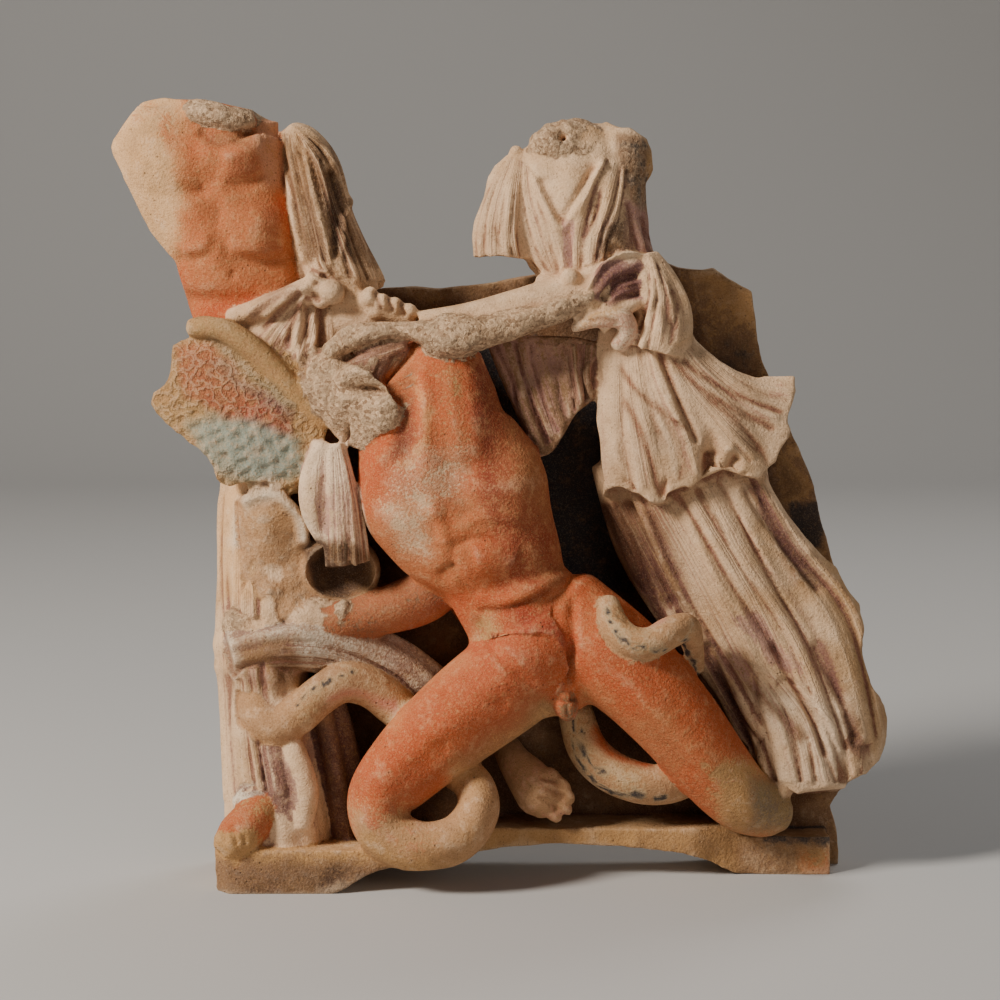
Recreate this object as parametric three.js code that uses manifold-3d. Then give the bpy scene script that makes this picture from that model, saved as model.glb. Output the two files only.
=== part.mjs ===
// A terracotta architectural relief: a winged giant with snakes for legs, struck down between two gods,
// modelled in the round on a thin background with a plinth whose underside is a shallow arch.
// It is one piece of clay, with its heads and arms lost, and every form below is fused into that piece.
// Millimetres. X runs to the right along the front, Y runs into the wall, and Z is up from the surface
// that the plinth's two feet stand on. The origin is the middle of the outer box, at that surface.
import * as THREE from 'three';
import { mergeVertices } from 'three/addons/utils/BufferGeometryUtils.js';
import Module from 'manifold-3d';

// Driving dimensions.
const RELIEF_HEIGHT = 500;
const BACKGROUND_THICKNESS = 16;
const PLINTH_LEFT_END = -180;
const PLINTH_RIGHT_END = 215;
const FOOT_LENGTH_LEFT = 74;
const FOOT_LENGTH_RIGHT = 60;
const PLINTH_DEPTH_LEFT = 89;
const LEFT_DEPTH_TO = -63;
const PLINTH_DEPTH_MIDDLE = 54;
const PLINTH_DEPTH_RIGHT = 42;
const PLINTH_HEIGHT_LEFT = 28;
const LEDGE_HEIGHT = 34;
const PLINTH_HEIGHT_RIGHT = 25;
const ARCH_RISE = 23;
const CLOTH_THICKNESS = 5;

// The figures are set out on a squared sheet of 1000 by 1000, as a sculptor's cartoon is: squares across,
// squares down, and squares out of the flat back. The sheet is what an eye in front of the relief sees,
// so a place on it is carried along that eye's line of sight until it is as far out as it should be.
const SQUARES_TALL = 785;
const SQUARE = RELIEF_HEIGHT / SQUARES_TALL;
const SHEET_CENTRE = 500;
const EYE_AWAY = 2600;
const EYE_TILT = THREE.MathUtils.degToRad(7);
const TRUE_SCALE_OUT = 70;
const EYE_LEVEL = 385;

const wasm = await Module();
wasm.setup();

// A place on the sheet as a point of the relief.
function onSheet([across, down, out]) {
  const [sin, cos] = [Math.sin(EYE_TILT), Math.cos(EYE_TILT)];
  const up = SHEET_CENTRE - down;
  const ahead = EYE_AWAY * cos + up * sin;
  const sight = new THREE.Vector3(across - SHEET_CENTRE, ahead, up * cos - EYE_AWAY * sin);
  const eye = new THREE.Vector3(0, -TRUE_SCALE_OUT - EYE_AWAY * cos, EYE_LEVEL + EYE_AWAY * sin);
  const reach = (-out - eye.y) / sight.y;
  return eye.addScaledVector(sight, reach).multiplyScalar(SQUARE);
}

// The solid that a closed geometry bounds, with its shared corners merged and its faces pointing out.
function solidOf(geometry) {
  const bare = new THREE.BufferGeometry();
  bare.setAttribute('position', geometry.getAttribute('position'));
  if (geometry.index) bare.setIndex(geometry.index);
  const merged = mergeVertices(bare, 1e-4);
  const triVerts = new Uint32Array(merged.index.array);
  const vertProperties = merged.attributes.position.array;
  const solid = new wasm.Manifold(new wasm.Mesh({ numProp: 3, vertProperties, triVerts }));
  if (solid.volume() > 0) return solid;
  const turned = triVerts.map((_, i) => triVerts[i + 2 - 2 * (i % 3)]);
  return new wasm.Manifold(new wasm.Mesh({ numProp: 3, vertProperties, triVerts: turned }));
}

// A closed skin over rings of points, each end drawn together at the middle of its ring.
function skin(rings) {
  const count = rings[0].length;
  const points = rings.flat();
  const middle = (ring) => ring.reduce((sum, p) => sum.add(p), new THREE.Vector3()).divideScalar(count);
  const index = [];
  const last = (rings.length - 1) * count;
  points.push(middle(rings[0]), middle(rings[rings.length - 1]));
  for (let j = 0; j < count; j += 1) {
    const next = (j + 1) % count;
    index.push(next, j, points.length - 2, last + j, last + next, points.length - 1);
    for (let i = 0; i < last; i += count) index.push(i + j, i + next, i + count + j);
    for (let i = 0; i < last; i += count) index.push(i + next, i + count + next, i + count + j);
  }
  const geometry = new THREE.BufferGeometry().setFromPoints(points);
  geometry.setIndex(index);
  return solidOf(geometry);
}

// The station at share t along a list of stations, on a smooth curve through them (Catmull-Rom).
function between(stations, t) {
  const last = stations.length - 1;
  const i = Math.min(last - 1, Math.floor(t * last));
  const f = t * last - i;
  const pick = (k) => stations[Math.max(0, Math.min(last, k))];
  const [before, from, to, after] = [pick(i - 1), pick(i), pick(i + 1), pick(i + 2)];
  return from.map((b, k) => {
    const [a, c, d] = [before[k], to[k], after[k]];
    const bend = (2 * a - 5 * b + 4 * c - d) * f ** 2 + (3 * b - a - 3 * c + d) * f ** 3;
    return 0.5 * (2 * b + (c - a) * f + bend);
  });
}

// How a rounded end of a form closes: [share of the girth, share of the reach past the end].
const DOME = [[0.6, 0.85]];

// Places round a section, as shares of a turn from the right side over the front: close together on the
// front, which is seen, and a few behind, where a form is sunk in the background.
const FRONT_FROM = -0.03;
const FRONT_SPAN = 0.56;
function placesRound(seen, sunk) {
  const front = Array.from({ length: seen + 1 }, (_, j) => FRONT_FROM + (FRONT_SPAN * j) / seen);
  const rest = (1 - FRONT_SPAN) / (sunk + 1);
  const behind = Array.from({ length: sunk }, (_, j) => FRONT_FROM + FRONT_SPAN + rest * (j + 1));
  return [...front, ...behind];
}

// A form carried along stations of [across, down, out, half width, half depth]. A round one leaves the
// half depth out, and its section then turns with the path instead of facing the front. swell(t, v)
// raises the skin by that many squares, where t runs along the path and v goes round the section from
// the right side over the front, and hem(t, v) pushes it along the path.
function form(stations, shape = {}) {
  const { sides = 8, rings = 5, round = [0.6, 0.6], twist = 0, hollow = 0, seen = 0 } = shape;
  const places = seen ? placesRound(seen, 2) : Array.from({ length: sides }, (_, j) => j / sides);
  const { swell = () => 0, hem = () => 0 } = shape;
  const isRound = stations[0].length === 4;
  const steps = [];
  if (round[0]) DOME.forEach(([girth, reach]) => steps.push([0, girth, -reach * round[0]]));
  for (let k = 0; k <= rings; k += 1) steps.push([k / rings, 1, 0]);
  if (round[1]) [...DOME].reverse().forEach(([girth, reach]) => steps.push([1, girth, reach * round[1]]));
  if (hollow) steps.push([1, -CLOTH_THICKNESS / SQUARE, 0], [1, -CLOTH_THICKNESS / SQUARE, -hollow]);
  const side = new THREE.Vector3();
  const sections = steps.map(([t, girth, reach]) => {
    const [across, down, out, width, depth = width] = between(stations, t);
    const ahead = between(stations, Math.min(1, t + 0.02));
    const behind = between(stations, Math.max(0, t - 0.02));
    const along = new THREE.Vector3(ahead[0] - behind[0], ahead[1] - behind[1], ahead[2] - behind[2]);
    along.normalize();
    if (isRound && side.lengthSq() > 0) side.addScaledVector(along, -side.dot(along)).normalize();
    else side.set(along.y, -along.x, 0).normalize();
    const front = new THREE.Vector3(0, 0, 1).addScaledVector(along, -along.z);
    if (isRound) front.crossVectors(along, side);
    front.normalize();
    const inset = girth < 0 ? girth : 0;
    const share = girth < 0 ? 1 : girth;
    const advance = girth < 0 ? reach : reach * Math.min(width, depth);
    return places.map((v) => {
      const turn = 2 * Math.PI * (v + twist * t);
      const lift = swell(t, v) * share + inset;
      const push = advance + hem(t, v);
      const point = new THREE.Vector3(across, down, out).addScaledVector(along, push);
      point.addScaledVector(side, (width * share + lift) * Math.cos(turn));
      point.addScaledVector(front, (depth * share + lift) * Math.sin(turn));
      return onSheet(point.toArray());
    });
  });
  return skin(sections);
}

// A lump of clay: a ball of few faces, stretched to its three half sizes and leaning by some degrees.
function lump([across, down, out], [width, height, depth], lean = 0, detail = 1) {
  const ball = new THREE.IcosahedronGeometry(1, detail);
  const place = ball.getAttribute('position');
  const turn = THREE.MathUtils.degToRad(lean);
  for (let i = 0; i < place.count; i += 1) {
    const x = place.getX(i) * width;
    const y = place.getY(i) * height;
    const point = onSheet([
      across + x * Math.cos(turn) - y * Math.sin(turn),
      down + x * Math.sin(turn) + y * Math.cos(turn),
      out + place.getZ(i) * depth,
    ]);
    place.setXYZ(i, point.x, point.y, point.z);
  }
  return solidOf(ball);
}

// Folds that run along the front of a cloth, count of them, as ridges between valleys. rise gives their
// height in squares at the start and the end of the cloth.
const folds = (count, rise) => (t, v) => {
  const share = (v - FRONT_FROM) / FRONT_SPAN;
  const height = rise[0] + (rise[1] - rise[0]) * t;
  return share > 1 ? 0 : height * (2 * Math.abs(Math.sin(Math.PI * count * share)) - 1);
};

// A wavy lower edge: every other fold of a cloth hangs lower where it meets the hem.
const ruffle = (count, drop) => (t, v) => {
  const share = (v - FRONT_FROM) / FRONT_SPAN;
  return t < 1 || share > 1 ? 0 : drop * Math.sin(Math.PI * count * share);
};

// A pleated cloth on the same stations as a form, with two faces to each fold.
const cloth = (stations, count, rise, shape = {}) => form(stations, {
  seen: 2 * count,
  rings: 3,
  round: [0, 0],
  swell: folds(count, rise),
  hem: ruffle(count, shape.drop ?? 0),
  ...shape,
});

// A soft mound on a form, at share t along it and v round it, with its reach in both, and its height.
const mounds = (list) => (t, v) => list.reduce((sum, [at, round, long, wide, height]) => {
  const apart = Math.abs(v - round);
  const across = Math.min(apart, 1 - apart) / wide;
  return sum + height * Math.exp(-(((t - at) / long) ** 2) - across ** 2);
}, 0);

// The left god: a bare torso that leans away, its raised arm broken at the shoulder, a cloak over the
// other shoulder, knotted at the waist, and long drapery down to one bare foot.
function leftGod() {
  const chest = mounds([
    [0.3, 0.17, 0.12, 0.07, 8], [0.3, 0.34, 0.12, 0.07, 8], [0.42, 0.255, 0.2, 0.025, -5],
    [0.55, 0.25, 0.06, 0.12, -4], [0.66, 0.2, 0.1, 0.05, 4], [0.66, 0.31, 0.1, 0.05, 4],
  ]);
  const torso = form([
    [203, 101, 70, 50, 22], [202, 116, 72, 71, 31], [198, 140, 74, 89, 36], [203, 166, 75, 84, 40],
    [214, 200, 76, 75, 41], [229, 236, 76, 68, 39], [238, 264, 74, 66, 34], [246, 290, 72, 61, 33],
    [252, 335, 72, 58, 34],
  ], { seen: 10, rings: 9, swell: chest, round: [0.15, 0] });
  const neck = lump([221, 115, 82], [38, 16, 28], 8);
  const cloak = cloth([
    [291, 130, 80, 10, 24], [302, 144, 82, 20, 34], [314, 172, 84, 27, 42], [320, 215, 82, 31, 44],
    [334, 262, 80, 36, 42], [348, 300, 78, 38, 38],
  ], 6, [3, 6], { round: [0.4, 0] });
  const knot = lump([325, 289, 122], [17, 18, 14], 20);
  const sash = form([
    [232, 318, 104, 9, 14], [270, 306, 110, 12, 16], [318, 284, 116, 12, 14],
  ], { sides: 7, rings: 3 });
  const hip = cloth([
    [284, 300, 80, 58, 32], [290, 330, 80, 64, 40], [292, 372, 78, 64, 42], [285, 412, 72, 62, 40],
    [275, 455, 66, 56, 38],
  ], 6, [3, 6], { twist: 0.03 });
  const lap = form([
    [340, 312, 92, 26, 24], [372, 322, 96, 24, 24], [402, 330, 96, 20, 20],
  ], { sides: 8, rings: 2 });
  const hand = form([
    [352, 297, 116, 11, 12], [378, 305, 120, 14, 13], [408, 319, 120, 10, 11],
  ], { sides: 7, rings: 3 });
  const leg = cloth([
    [264, 462, 60, 43, 44], [260, 520, 62, 40, 46], [263, 580, 66, 44, 48], [265, 630, 70, 48, 52],
    [265, 690, 72, 42, 54], [269, 750, 74, 43, 56], [276, 815, 76, 50, 56], [280, 846, 76, 50, 56],
  ], 6, [4, 8], { rings: 5, twist: 0.03 });
  const brokenKnee = lump([283, 546, 92], [33, 60, 32], -8);
  const brokenLimb = lump([335, 568, 88], [46, 38, 36], 10);
  const stretchedCloth = cloth([
    [290, 622, 92, 30, 32], [340, 640, 82, 30, 30], [392, 668, 66, 30, 28], [440, 705, 52, 30, 26],
  ], 4, [4, 4]);
  const innerFold = cloth([
    [318, 690, 66, 22, 34], [334, 765, 66, 24, 34], [346, 842, 66, 26, 34],
  ], 3, [4, 6], { rings: 2 });
  const hangingFold = form([
    [292, 748, 120, 13, 15], [304, 790, 124, 15, 15], [302, 826, 122, 10, 12],
  ], { sides: 7, rings: 3 });
  const foot = form([
    [270, 796, 112, 18], [254, 818, 124, 20], [236, 836, 134, 19], [225, 846, 140, 14],
  ], { rings: 4 });
  return [torso, neck, cloak, knot, sash, hip, lap, hand, leg, brokenKnee, brokenLimb, stretchedCloth,
    innerFold, hangingFold, foot];
}

// The giant: a bare torso thrown back, its raised arm broken at the shoulder, and thighs that end
// as snakes.
function giant() {
  const body = mounds([
    [0.2, 0.17, 0.08, 0.07, 6], [0.27, 0.36, 0.1, 0.09, 12], [0.33, 0.25, 0.1, 0.03, -5],
    [0.42, 0.15, 0.08, 0.07, 7], [0.46, 0.35, 0.07, 0.08, 5], [0.53, 0.26, 0.05, 0.07, -6],
    [0.62, 0.2, 0.05, 0.09, 6], [0.7, 0.25, 0.04, 0.16, -4],
  ]);
  const torso = form([
    [447, 346, 110, 34, 30], [441, 380, 112, 55, 38], [437, 422, 114, 74, 43], [449, 476, 118, 91, 46],
    [472, 520, 120, 87, 46], [497, 560, 118, 67, 42], [511, 592, 114, 59, 39], [528, 622, 112, 62, 41],
    [541, 655, 112, 66, 43], [551, 690, 108, 52, 38], [556, 712, 104, 30, 28],
  ], { seen: 12, rings: 12, swell: body, round: [0, 0] });
  const backing = form([
    [452, 380, 46, 30, 44], [455, 500, 50, 62, 46], [500, 600, 50, 46, 46], [548, 670, 48, 46, 42],
  ], { rings: 3, round: [0, 0] });
  const armStump = form([[392, 392, 100, 50], [370, 403, 128, 47], [362, 409, 152, 40]], {
    sides: 11, rings: 2, round: [0, 0.1],
  });
  const neck = lump([452, 338, 136], [32, 24, 26], 0);
  const leftLeg = form([
    [546, 655, 108, 50], [496, 690, 116, 51], [449, 727, 126, 47], [409, 763, 134, 41], [381, 799, 138, 34],
    [387, 832, 142, 29], [420, 847, 146, 26], [456, 839, 146, 24], [477, 813, 138, 22], [474, 786, 124, 20],
    [450, 765, 104, 19], [424, 738, 90, 19], [400, 712, 92, 20], [372, 689, 102, 20], [343, 683, 112, 20],
    [318, 697, 118, 20], [297, 716, 122, 20], [275, 727, 122, 20], [257, 713, 116, 18], [253, 690, 106, 15],
  ], { sides: 8, rings: 28, round: [0, 0.6] });
  const rightLeg = form([
    [566, 612, 104, 46], [612, 655, 112, 50], [646, 687, 114, 47], [680, 725, 110, 43], [711, 765, 102, 39],
    [740, 797, 92, 34], [764, 810, 82, 28], [780, 812, 76, 20],
  ], { sides: 9, rings: 6, round: [0, 0.6] });
  const coilOverThigh = form([
    [608, 604, 138, 12], [613, 623, 152, 15], [628, 640, 160, 16], [650, 643, 160, 16], [671, 632, 154, 16],
    [687, 627, 142, 15], [697, 642, 122, 14], [702, 664, 98, 13],
  ], { sides: 7, rings: 10 });
  const coilBehindThigh = form([
    [570, 688, 68, 15], [577, 718, 80, 18], [587, 748, 86, 20], [607, 769, 90, 21], [637, 782, 92, 21],
    [668, 784, 88, 20], [702, 772, 70, 18],
  ], { sides: 7, rings: 8, round: [0, 0] });
  const sex = lump([566, 705, 138], [12, 17, 14], -15);
  const arm = form([
    [452, 570, 88, 28], [424, 596, 92, 27], [388, 610, 98, 24], [352, 619, 102, 20],
    [322, 622, 106, 17],
  ], { sides: 8, rings: 4, round: [0, 0] });
  const brokenHand = lump([306, 622, 108], [26, 20, 20], -10);
  return [torso, backing, armStump, neck, leftLeg, rightLeg, coilOverThigh, coilBehindThigh, sex, arm,
    brokenHand];
}

// The giant's wing, in rows of feathers under a thick leading edge, and the scarf tied at his shoulder.
function wingAndScarf() {
  const rows = (t, v) => (v > 0 && v < 0.5 ? 3 * Math.abs(Math.sin(Math.PI * 5.5 * t)) : 0);
  const feathers = form([
    [322, 440, 110, 44, 14], [286, 430, 116, 56, 14], [250, 414, 118, 62, 14], [214, 394, 116, 60, 13],
    [182, 388, 112, 46, 11], [160, 388, 108, 27, 9],
  ], { seen: 6, rings: 11, swell: rows, round: [0, 0.6] });
  const leadingEdge = form([
    [318, 418, 120, 9], [286, 384, 130, 13], [250, 349, 132, 15], [216, 327, 128, 13], [192, 326, 120, 10],
  ], { sides: 7, rings: 5 });
  const scarf = cloth([
    [330, 442, 132, 13, 13], [334, 480, 134, 19, 15], [340, 520, 132, 23, 15], [346, 564, 128, 24, 14],
  ], 4, [2, 4], { rings: 2 });
  const scarfEnd = form([
    [316, 450, 126, 14, 12], [311, 490, 126, 15, 12], [322, 532, 122, 8, 8],
  ], { sides: 7, rings: 3 });
  const flyingCloak = cloth([
    [492, 340, 92, 18, 14], [515, 360, 96, 36, 16], [538, 385, 98, 50, 18], [559, 411, 98, 58, 20],
  ], 6, [2, 7], { rings: 2, drop: 4 });
  return [feathers, leadingEdge, scarf, scarfEnd, flyingCloak];
}

// The right god: a woman who strides away and looks back, in a belted dress with a deep flying overfold.
function rightGod() {
  const bodice = cloth([
    [566, 138, 78, 34, 24], [570, 152, 82, 60, 34], [573, 190, 86, 72, 40], [585, 235, 86, 64, 39],
    [598, 270, 84, 57, 36], [606, 300, 82, 58, 36],
  ], 7, [2, 5], { rings: 4, round: [0.4, 0] });
  const sleeve = cloth([
    [513, 160, 80, 12, 24], [505, 190, 80, 18, 31], [498, 226, 80, 19, 32], [497, 257, 78, 20, 32],
  ], 3, [2, 4], { rings: 3, round: [0.6, 0] });
  const neck = lump([567, 141, 98], [39, 26, 22], -4);
  const shoulder = lump([621, 156, 80], [34, 38, 32], -10);
  const shoulderButton = lump([516, 152, 100], [6, 6, 6]);
  const belt = form([
    [540, 281, 108, 7, 8], [572, 282, 120, 8, 8], [604, 266, 118, 7, 8],
  ], { sides: 6, rings: 3 });
  const beltKnot = lump([570, 278, 128], [9, 9, 9]);
  const arm = form([
    [622, 282, 100, 22], [575, 292, 112, 21], [520, 306, 120, 18], [470, 318, 122, 16],
    [420, 324, 120, 13],
  ], { sides: 7, rings: 4, round: [0, 0] });
  const brokenArm = form([
    [330, 352, 134, 9, 12], [360, 336, 138, 13, 14], [410, 331, 138, 10, 14], [452, 338, 142, 20, 18],
    [500, 328, 140, 15, 16], [552, 312, 134, 13, 16], [604, 292, 122, 9, 12],
  ], { sides: 6, rings: 8 });
  const cuff = cloth([
    [604, 296, 104, 30, 14], [620, 276, 112, 26, 18], [640, 262, 104, 20, 16],
  ], 4, [3, 3], { rings: 2, round: [0, 0.6] });
  const cuffTip = form([
    [574, 326, 130, 6, 8], [600, 316, 130, 10, 10], [622, 322, 122, 16, 14], [618, 342, 114, 12, 12],
  ], { sides: 7, rings: 4 });
  const fallingFolds = cloth([
    [642, 258, 96, 16, 22], [654, 285, 100, 24, 28], [664, 318, 100, 28, 30], [656, 350, 98, 34, 32],
  ], 4, [3, 6]);
  const overfold = cloth([
    [642, 330, 92, 34, 28], [654, 364, 94, 58, 32], [670, 402, 96, 84, 36], [684, 440, 98, 103, 40],
    [693, 468, 98, 111, 42],
  ], 10, [2, 7], { drop: 6, hollow: 22 });
  const overfoldTip = cloth([
    [708, 366, 88, 24, 18], [742, 390, 92, 30, 20], [774, 406, 94, 32, 20],
  ], 4, [2, 5], { rings: 2, round: [0.6, 0.2] });
  const skirt = cloth([
    [655, 436, 62, 66, 40], [690, 510, 64, 82, 44], [728, 566, 62, 84, 46], [782, 645, 56, 80, 44],
    [806, 712, 54, 72, 42], [822, 758, 52, 58, 40], [826, 780, 52, 54, 40],
  ], 8, [4, 8], { rings: 5, drop: 3, twist: 0.02 });
  const hemFolds = cloth([
    [768, 672, 74, 26, 30], [796, 728, 74, 40, 32], [812, 784, 72, 46, 32],
  ], 4, [3, 7], { rings: 2, round: [0.6, 0], drop: 3 });
  const foot = form([
    [490, 722, 20, 18], [508, 748, 62, 19], [528, 774, 82, 21], [546, 795, 90, 21], [560, 806, 94, 15],
  ]);
  return [bodice, sleeve, neck, shoulder, shoulderButton, belt, beltKnot, arm, brokenArm, cuff, cuffTip,
    fallingFolds, overfold, overfoldTip, skirt, hemFolds, foot];
}

// A flat outline given a thickness, standing on the floor or set against the wall.
function slabOf(outline, thickness) {
  const shape = new THREE.Shape(outline.map(([x, y]) => new THREE.Vector2(x, y)));
  return new THREE.ExtrudeGeometry(shape, { depth: thickness, bevelEnabled: false });
}

// The background: a thin slab whose outline is partly the old edge and partly broken.
function background() {
  const outline = [
    [226, 880], [224, 700], [226, 560], [232, 470], [240, 400], [264, 338], [310, 302], [386, 287],
    [440, 289], [530, 277], [600, 264], [664, 262], [704, 270], [731, 279], [752, 291], [757, 343],
    [764, 374], [793, 436], [810, 470], [821, 498], [823, 540], [846, 600], [850, 680], [852, 770],
    [830, 806], [838, 836], [838, 880],
  ];
  const flat = outline.map(([across, down]) => onSheet([across, down, BACKGROUND_THICKNESS / SQUARE]));
  const slab = slabOf(flat.map((p) => [p.x, p.z]), BACKGROUND_THICKNESS);
  slab.rotateX(Math.PI / 2);
  return solidOf(slab);
}

// The plinth: deep and low under the left god's foot, a higher ledge in the middle, and a shallow
// right end.
function plinth() {
  const ledgeTo = PLINTH_RIGHT_END - FOOT_LENGTH_RIGHT;
  const left = slabOf([
    [PLINTH_LEFT_END, 0], [PLINTH_LEFT_END, 8 - PLINTH_DEPTH_LEFT],
    [PLINTH_LEFT_END + 8, -PLINTH_DEPTH_LEFT], [LEFT_DEPTH_TO, -PLINTH_DEPTH_LEFT],
    [LEFT_DEPTH_TO / 2, -(PLINTH_DEPTH_LEFT + PLINTH_DEPTH_MIDDLE) / 2],
    [0, -PLINTH_DEPTH_MIDDLE], [0, 0],
  ], PLINTH_HEIGHT_LEFT);
  const ledge = slabOf([
    [LEFT_DEPTH_TO / 2, 0], [LEFT_DEPTH_TO / 2, -PLINTH_DEPTH_MIDDLE],
    [ledgeTo - 30, -PLINTH_DEPTH_MIDDLE], [ledgeTo, -PLINTH_DEPTH_RIGHT], [ledgeTo, 0],
  ], LEDGE_HEIGHT);
  const right = slabOf([
    [ledgeTo - 20, 0], [ledgeTo - 20, -PLINTH_DEPTH_RIGHT - 3],
    [PLINTH_RIGHT_END, -PLINTH_DEPTH_RIGHT], [PLINTH_RIGHT_END, 0],
  ], PLINTH_HEIGHT_RIGHT);
  return [left, ledge, right].map(solidOf);
}

// The arch under the plinth: a step up from the left foot, then a flat curve down to the right foot.
function arch() {
  const from = PLINTH_LEFT_END + FOOT_LENGTH_LEFT;
  const span = PLINTH_RIGHT_END - FOOT_LENGTH_RIGHT - from;
  const profile = [[0, 0], [0.05, 0.62], [0.28, 0.82], [0.57, 1], [0.8, 0.78], [1, 0]];
  const marks = profile.map(([s, h]) => new THREE.Vector2(from + s * span, h * ARCH_RISE));
  const curve = new THREE.SplineCurve(marks).getPoints(15).map((p) => [p.x, p.y]);
  const outline = [[from, -ARCH_RISE], ...curve, [from + span, -ARCH_RISE]];
  const cutter = slabOf(outline, RELIEF_HEIGHT);
  cutter.rotateX(Math.PI / 2);
  cutter.translate(0, RELIEF_HEIGHT / 2, 0);
  return solidOf(cutter);
}

// A block that trims away what lies beyond a flat face: behind the back face, or under the floor.
function trimmer(x, y, z) {
  const reach = 2 * RELIEF_HEIGHT;
  const block = new THREE.BoxGeometry(reach, reach, reach);
  block.translate(x * reach * 0.5, y * reach * 0.5, z * reach * 0.5);
  return solidOf(block);
}

// The broken hollow under the scarf, where the front of a limb has fallen away.
const brokenHollow = () => lump([340, 568, 122], [36, 29, 34], 10);

const clay = wasm.Manifold.union([
  background(), ...plinth(), ...leftGod(), ...giant(), ...wingAndScarf(), ...rightGod(),
]);
const cuts = wasm.Manifold.union([arch(), brokenHollow(), trimmer(0, 1, 0), trimmer(0, 0, -1)]);
const fused = clay.subtract(cuts).getMesh();
const geometry = new THREE.BufferGeometry();
geometry.setAttribute('position', new THREE.BufferAttribute(new Float32Array(fused.vertProperties), 3));
geometry.setIndex(new THREE.BufferAttribute(new Uint32Array(fused.triVerts), 1));
geometry.computeBoundingBox();
const middle = geometry.boundingBox.getCenter(new THREE.Vector3());
geometry.translate(-middle.x, -middle.y, -geometry.boundingBox.min.z);

const terracotta = new THREE.MeshStandardMaterial({ color: 0xb98a66, roughness: 0.92, metalness: 0 });
const relief = new THREE.Mesh(geometry, terracotta);
relief.name = 'relief';

const group = new THREE.Group();
group.add(relief);

export default group;
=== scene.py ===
# %% [markdown]
# # A terracotta relief
# A winged giant with snakes for legs is struck down between two gods. The real thing is one piece of
# fired clay: figures pressed and modelled by hand, painted in earth colours over a pale slip, then broken
# and buried for a long time. This lesson builds it the same way: soft forms are laid one on another, fused
# into one body, worked over with folds and cuts, broken, and painted last. First the measured model is
# loaded, because every form here sits where that model says.

# %% The frame
import math
import bpy
import numpy as np
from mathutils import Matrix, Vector


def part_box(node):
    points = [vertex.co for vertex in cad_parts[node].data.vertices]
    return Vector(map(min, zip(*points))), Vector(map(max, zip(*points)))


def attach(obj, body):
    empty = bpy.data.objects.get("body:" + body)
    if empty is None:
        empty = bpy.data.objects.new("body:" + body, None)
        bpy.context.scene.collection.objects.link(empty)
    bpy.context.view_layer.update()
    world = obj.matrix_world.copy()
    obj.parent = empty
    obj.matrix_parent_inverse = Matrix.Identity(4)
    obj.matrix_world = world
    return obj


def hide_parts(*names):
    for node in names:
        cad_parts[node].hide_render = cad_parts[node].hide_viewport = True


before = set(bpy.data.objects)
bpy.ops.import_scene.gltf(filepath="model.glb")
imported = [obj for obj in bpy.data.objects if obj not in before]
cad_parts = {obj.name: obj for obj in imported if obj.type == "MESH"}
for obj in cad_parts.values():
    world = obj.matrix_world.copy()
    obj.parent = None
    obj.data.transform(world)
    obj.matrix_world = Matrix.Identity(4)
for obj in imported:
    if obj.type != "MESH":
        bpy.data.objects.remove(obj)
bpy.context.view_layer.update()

low, high = [np.array(corner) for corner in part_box("relief")]
print("measured model, mm:", np.round((high - low) * 1000, 1))

# %% [markdown]
# ## The squared sheet
# A sculptor sets figures out on a squared cartoon. Here the sheet has 1000 squares each way and is what an
# eye in front of the relief sees. A place is given as squares across, squares down, and squares out from
# the flat back, and is carried along the eye's line of sight until it is that far out. One helper goes
# from the sheet to the relief, and another comes back, so that paint and tool marks can be placed too.

# %% From the sheet to the relief and back
SQUARE = 0.5 / 785                              # metres: the relief is 785 squares and 0.5 m high
MIDDLE = 500                                    # the sheet's middle, across and down, where the eye looks
AWAY = 2600.0                                   # squares from the eye to the point it looks at
LEVEL, TRUE_OUT = 385.0, 70.0                   # that point's height, and how far out of the wall it is
LOOKS_DOWN = math.radians(7)
SIN, COS = math.sin(LOOKS_DOWN), math.cos(LOOKS_DOWN)
EYE = np.array([0.0, -TRUE_OUT - AWAY * COS, LEVEL + AWAY * SIN])
SHIFT = np.array([-0.004396202, 0.056193714, 0.0])
BACK = SHIFT[1]


def on_sheet(places):
    """(across, down, out) in squares to metres: the eye plus its line of sight, run on until Y is -out."""
    places = np.asarray(places, float)
    up = MIDDLE - places[..., 1]
    sight = np.stack([places[..., 0] - MIDDLE, AWAY * COS + up * SIN, up * COS - AWAY * SIN], -1)
    reach = (-places[..., 2] - EYE[1]) / sight[..., 1]
    return (EYE + reach[..., None] * sight) * SQUARE + SHIFT


def read_sheet(points):
    """Metres back to (across, down, out): the point seen from the eye, divided by its distance away."""
    q = (points - SHIFT) / SQUARE - EYE
    away = q[..., 1] * COS - q[..., 2] * SIN
    across = MIDDLE + AWAY * q[..., 0] / away
    down = MIDDLE - AWAY * (q[..., 1] * SIN + q[..., 2] * COS) / away
    return np.stack([across, down, -(points[..., 1] - SHIFT[1]) / SQUARE], -1)


print("there and back:", np.round(read_sheet(on_sheet([[203.0, 101.0, 70.0]])), 3))

# %% [markdown]
# ## Curves, forms and lumps
# Most of the relief is a form carried along a path: a torso, a thigh, a snake, a sleeve. Each is a closed
# grid of points, worked out as whole arrays from a few stations. Smooth curves go through the stations,
# both ends are rounded over, and what would lie behind the wall or under the floor is pressed flat.

# %% Smooth curves through stations
ARCH_FROM, ARCH_SPAN, ARCH_RISE = -0.106, 0.261, 0.023


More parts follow.
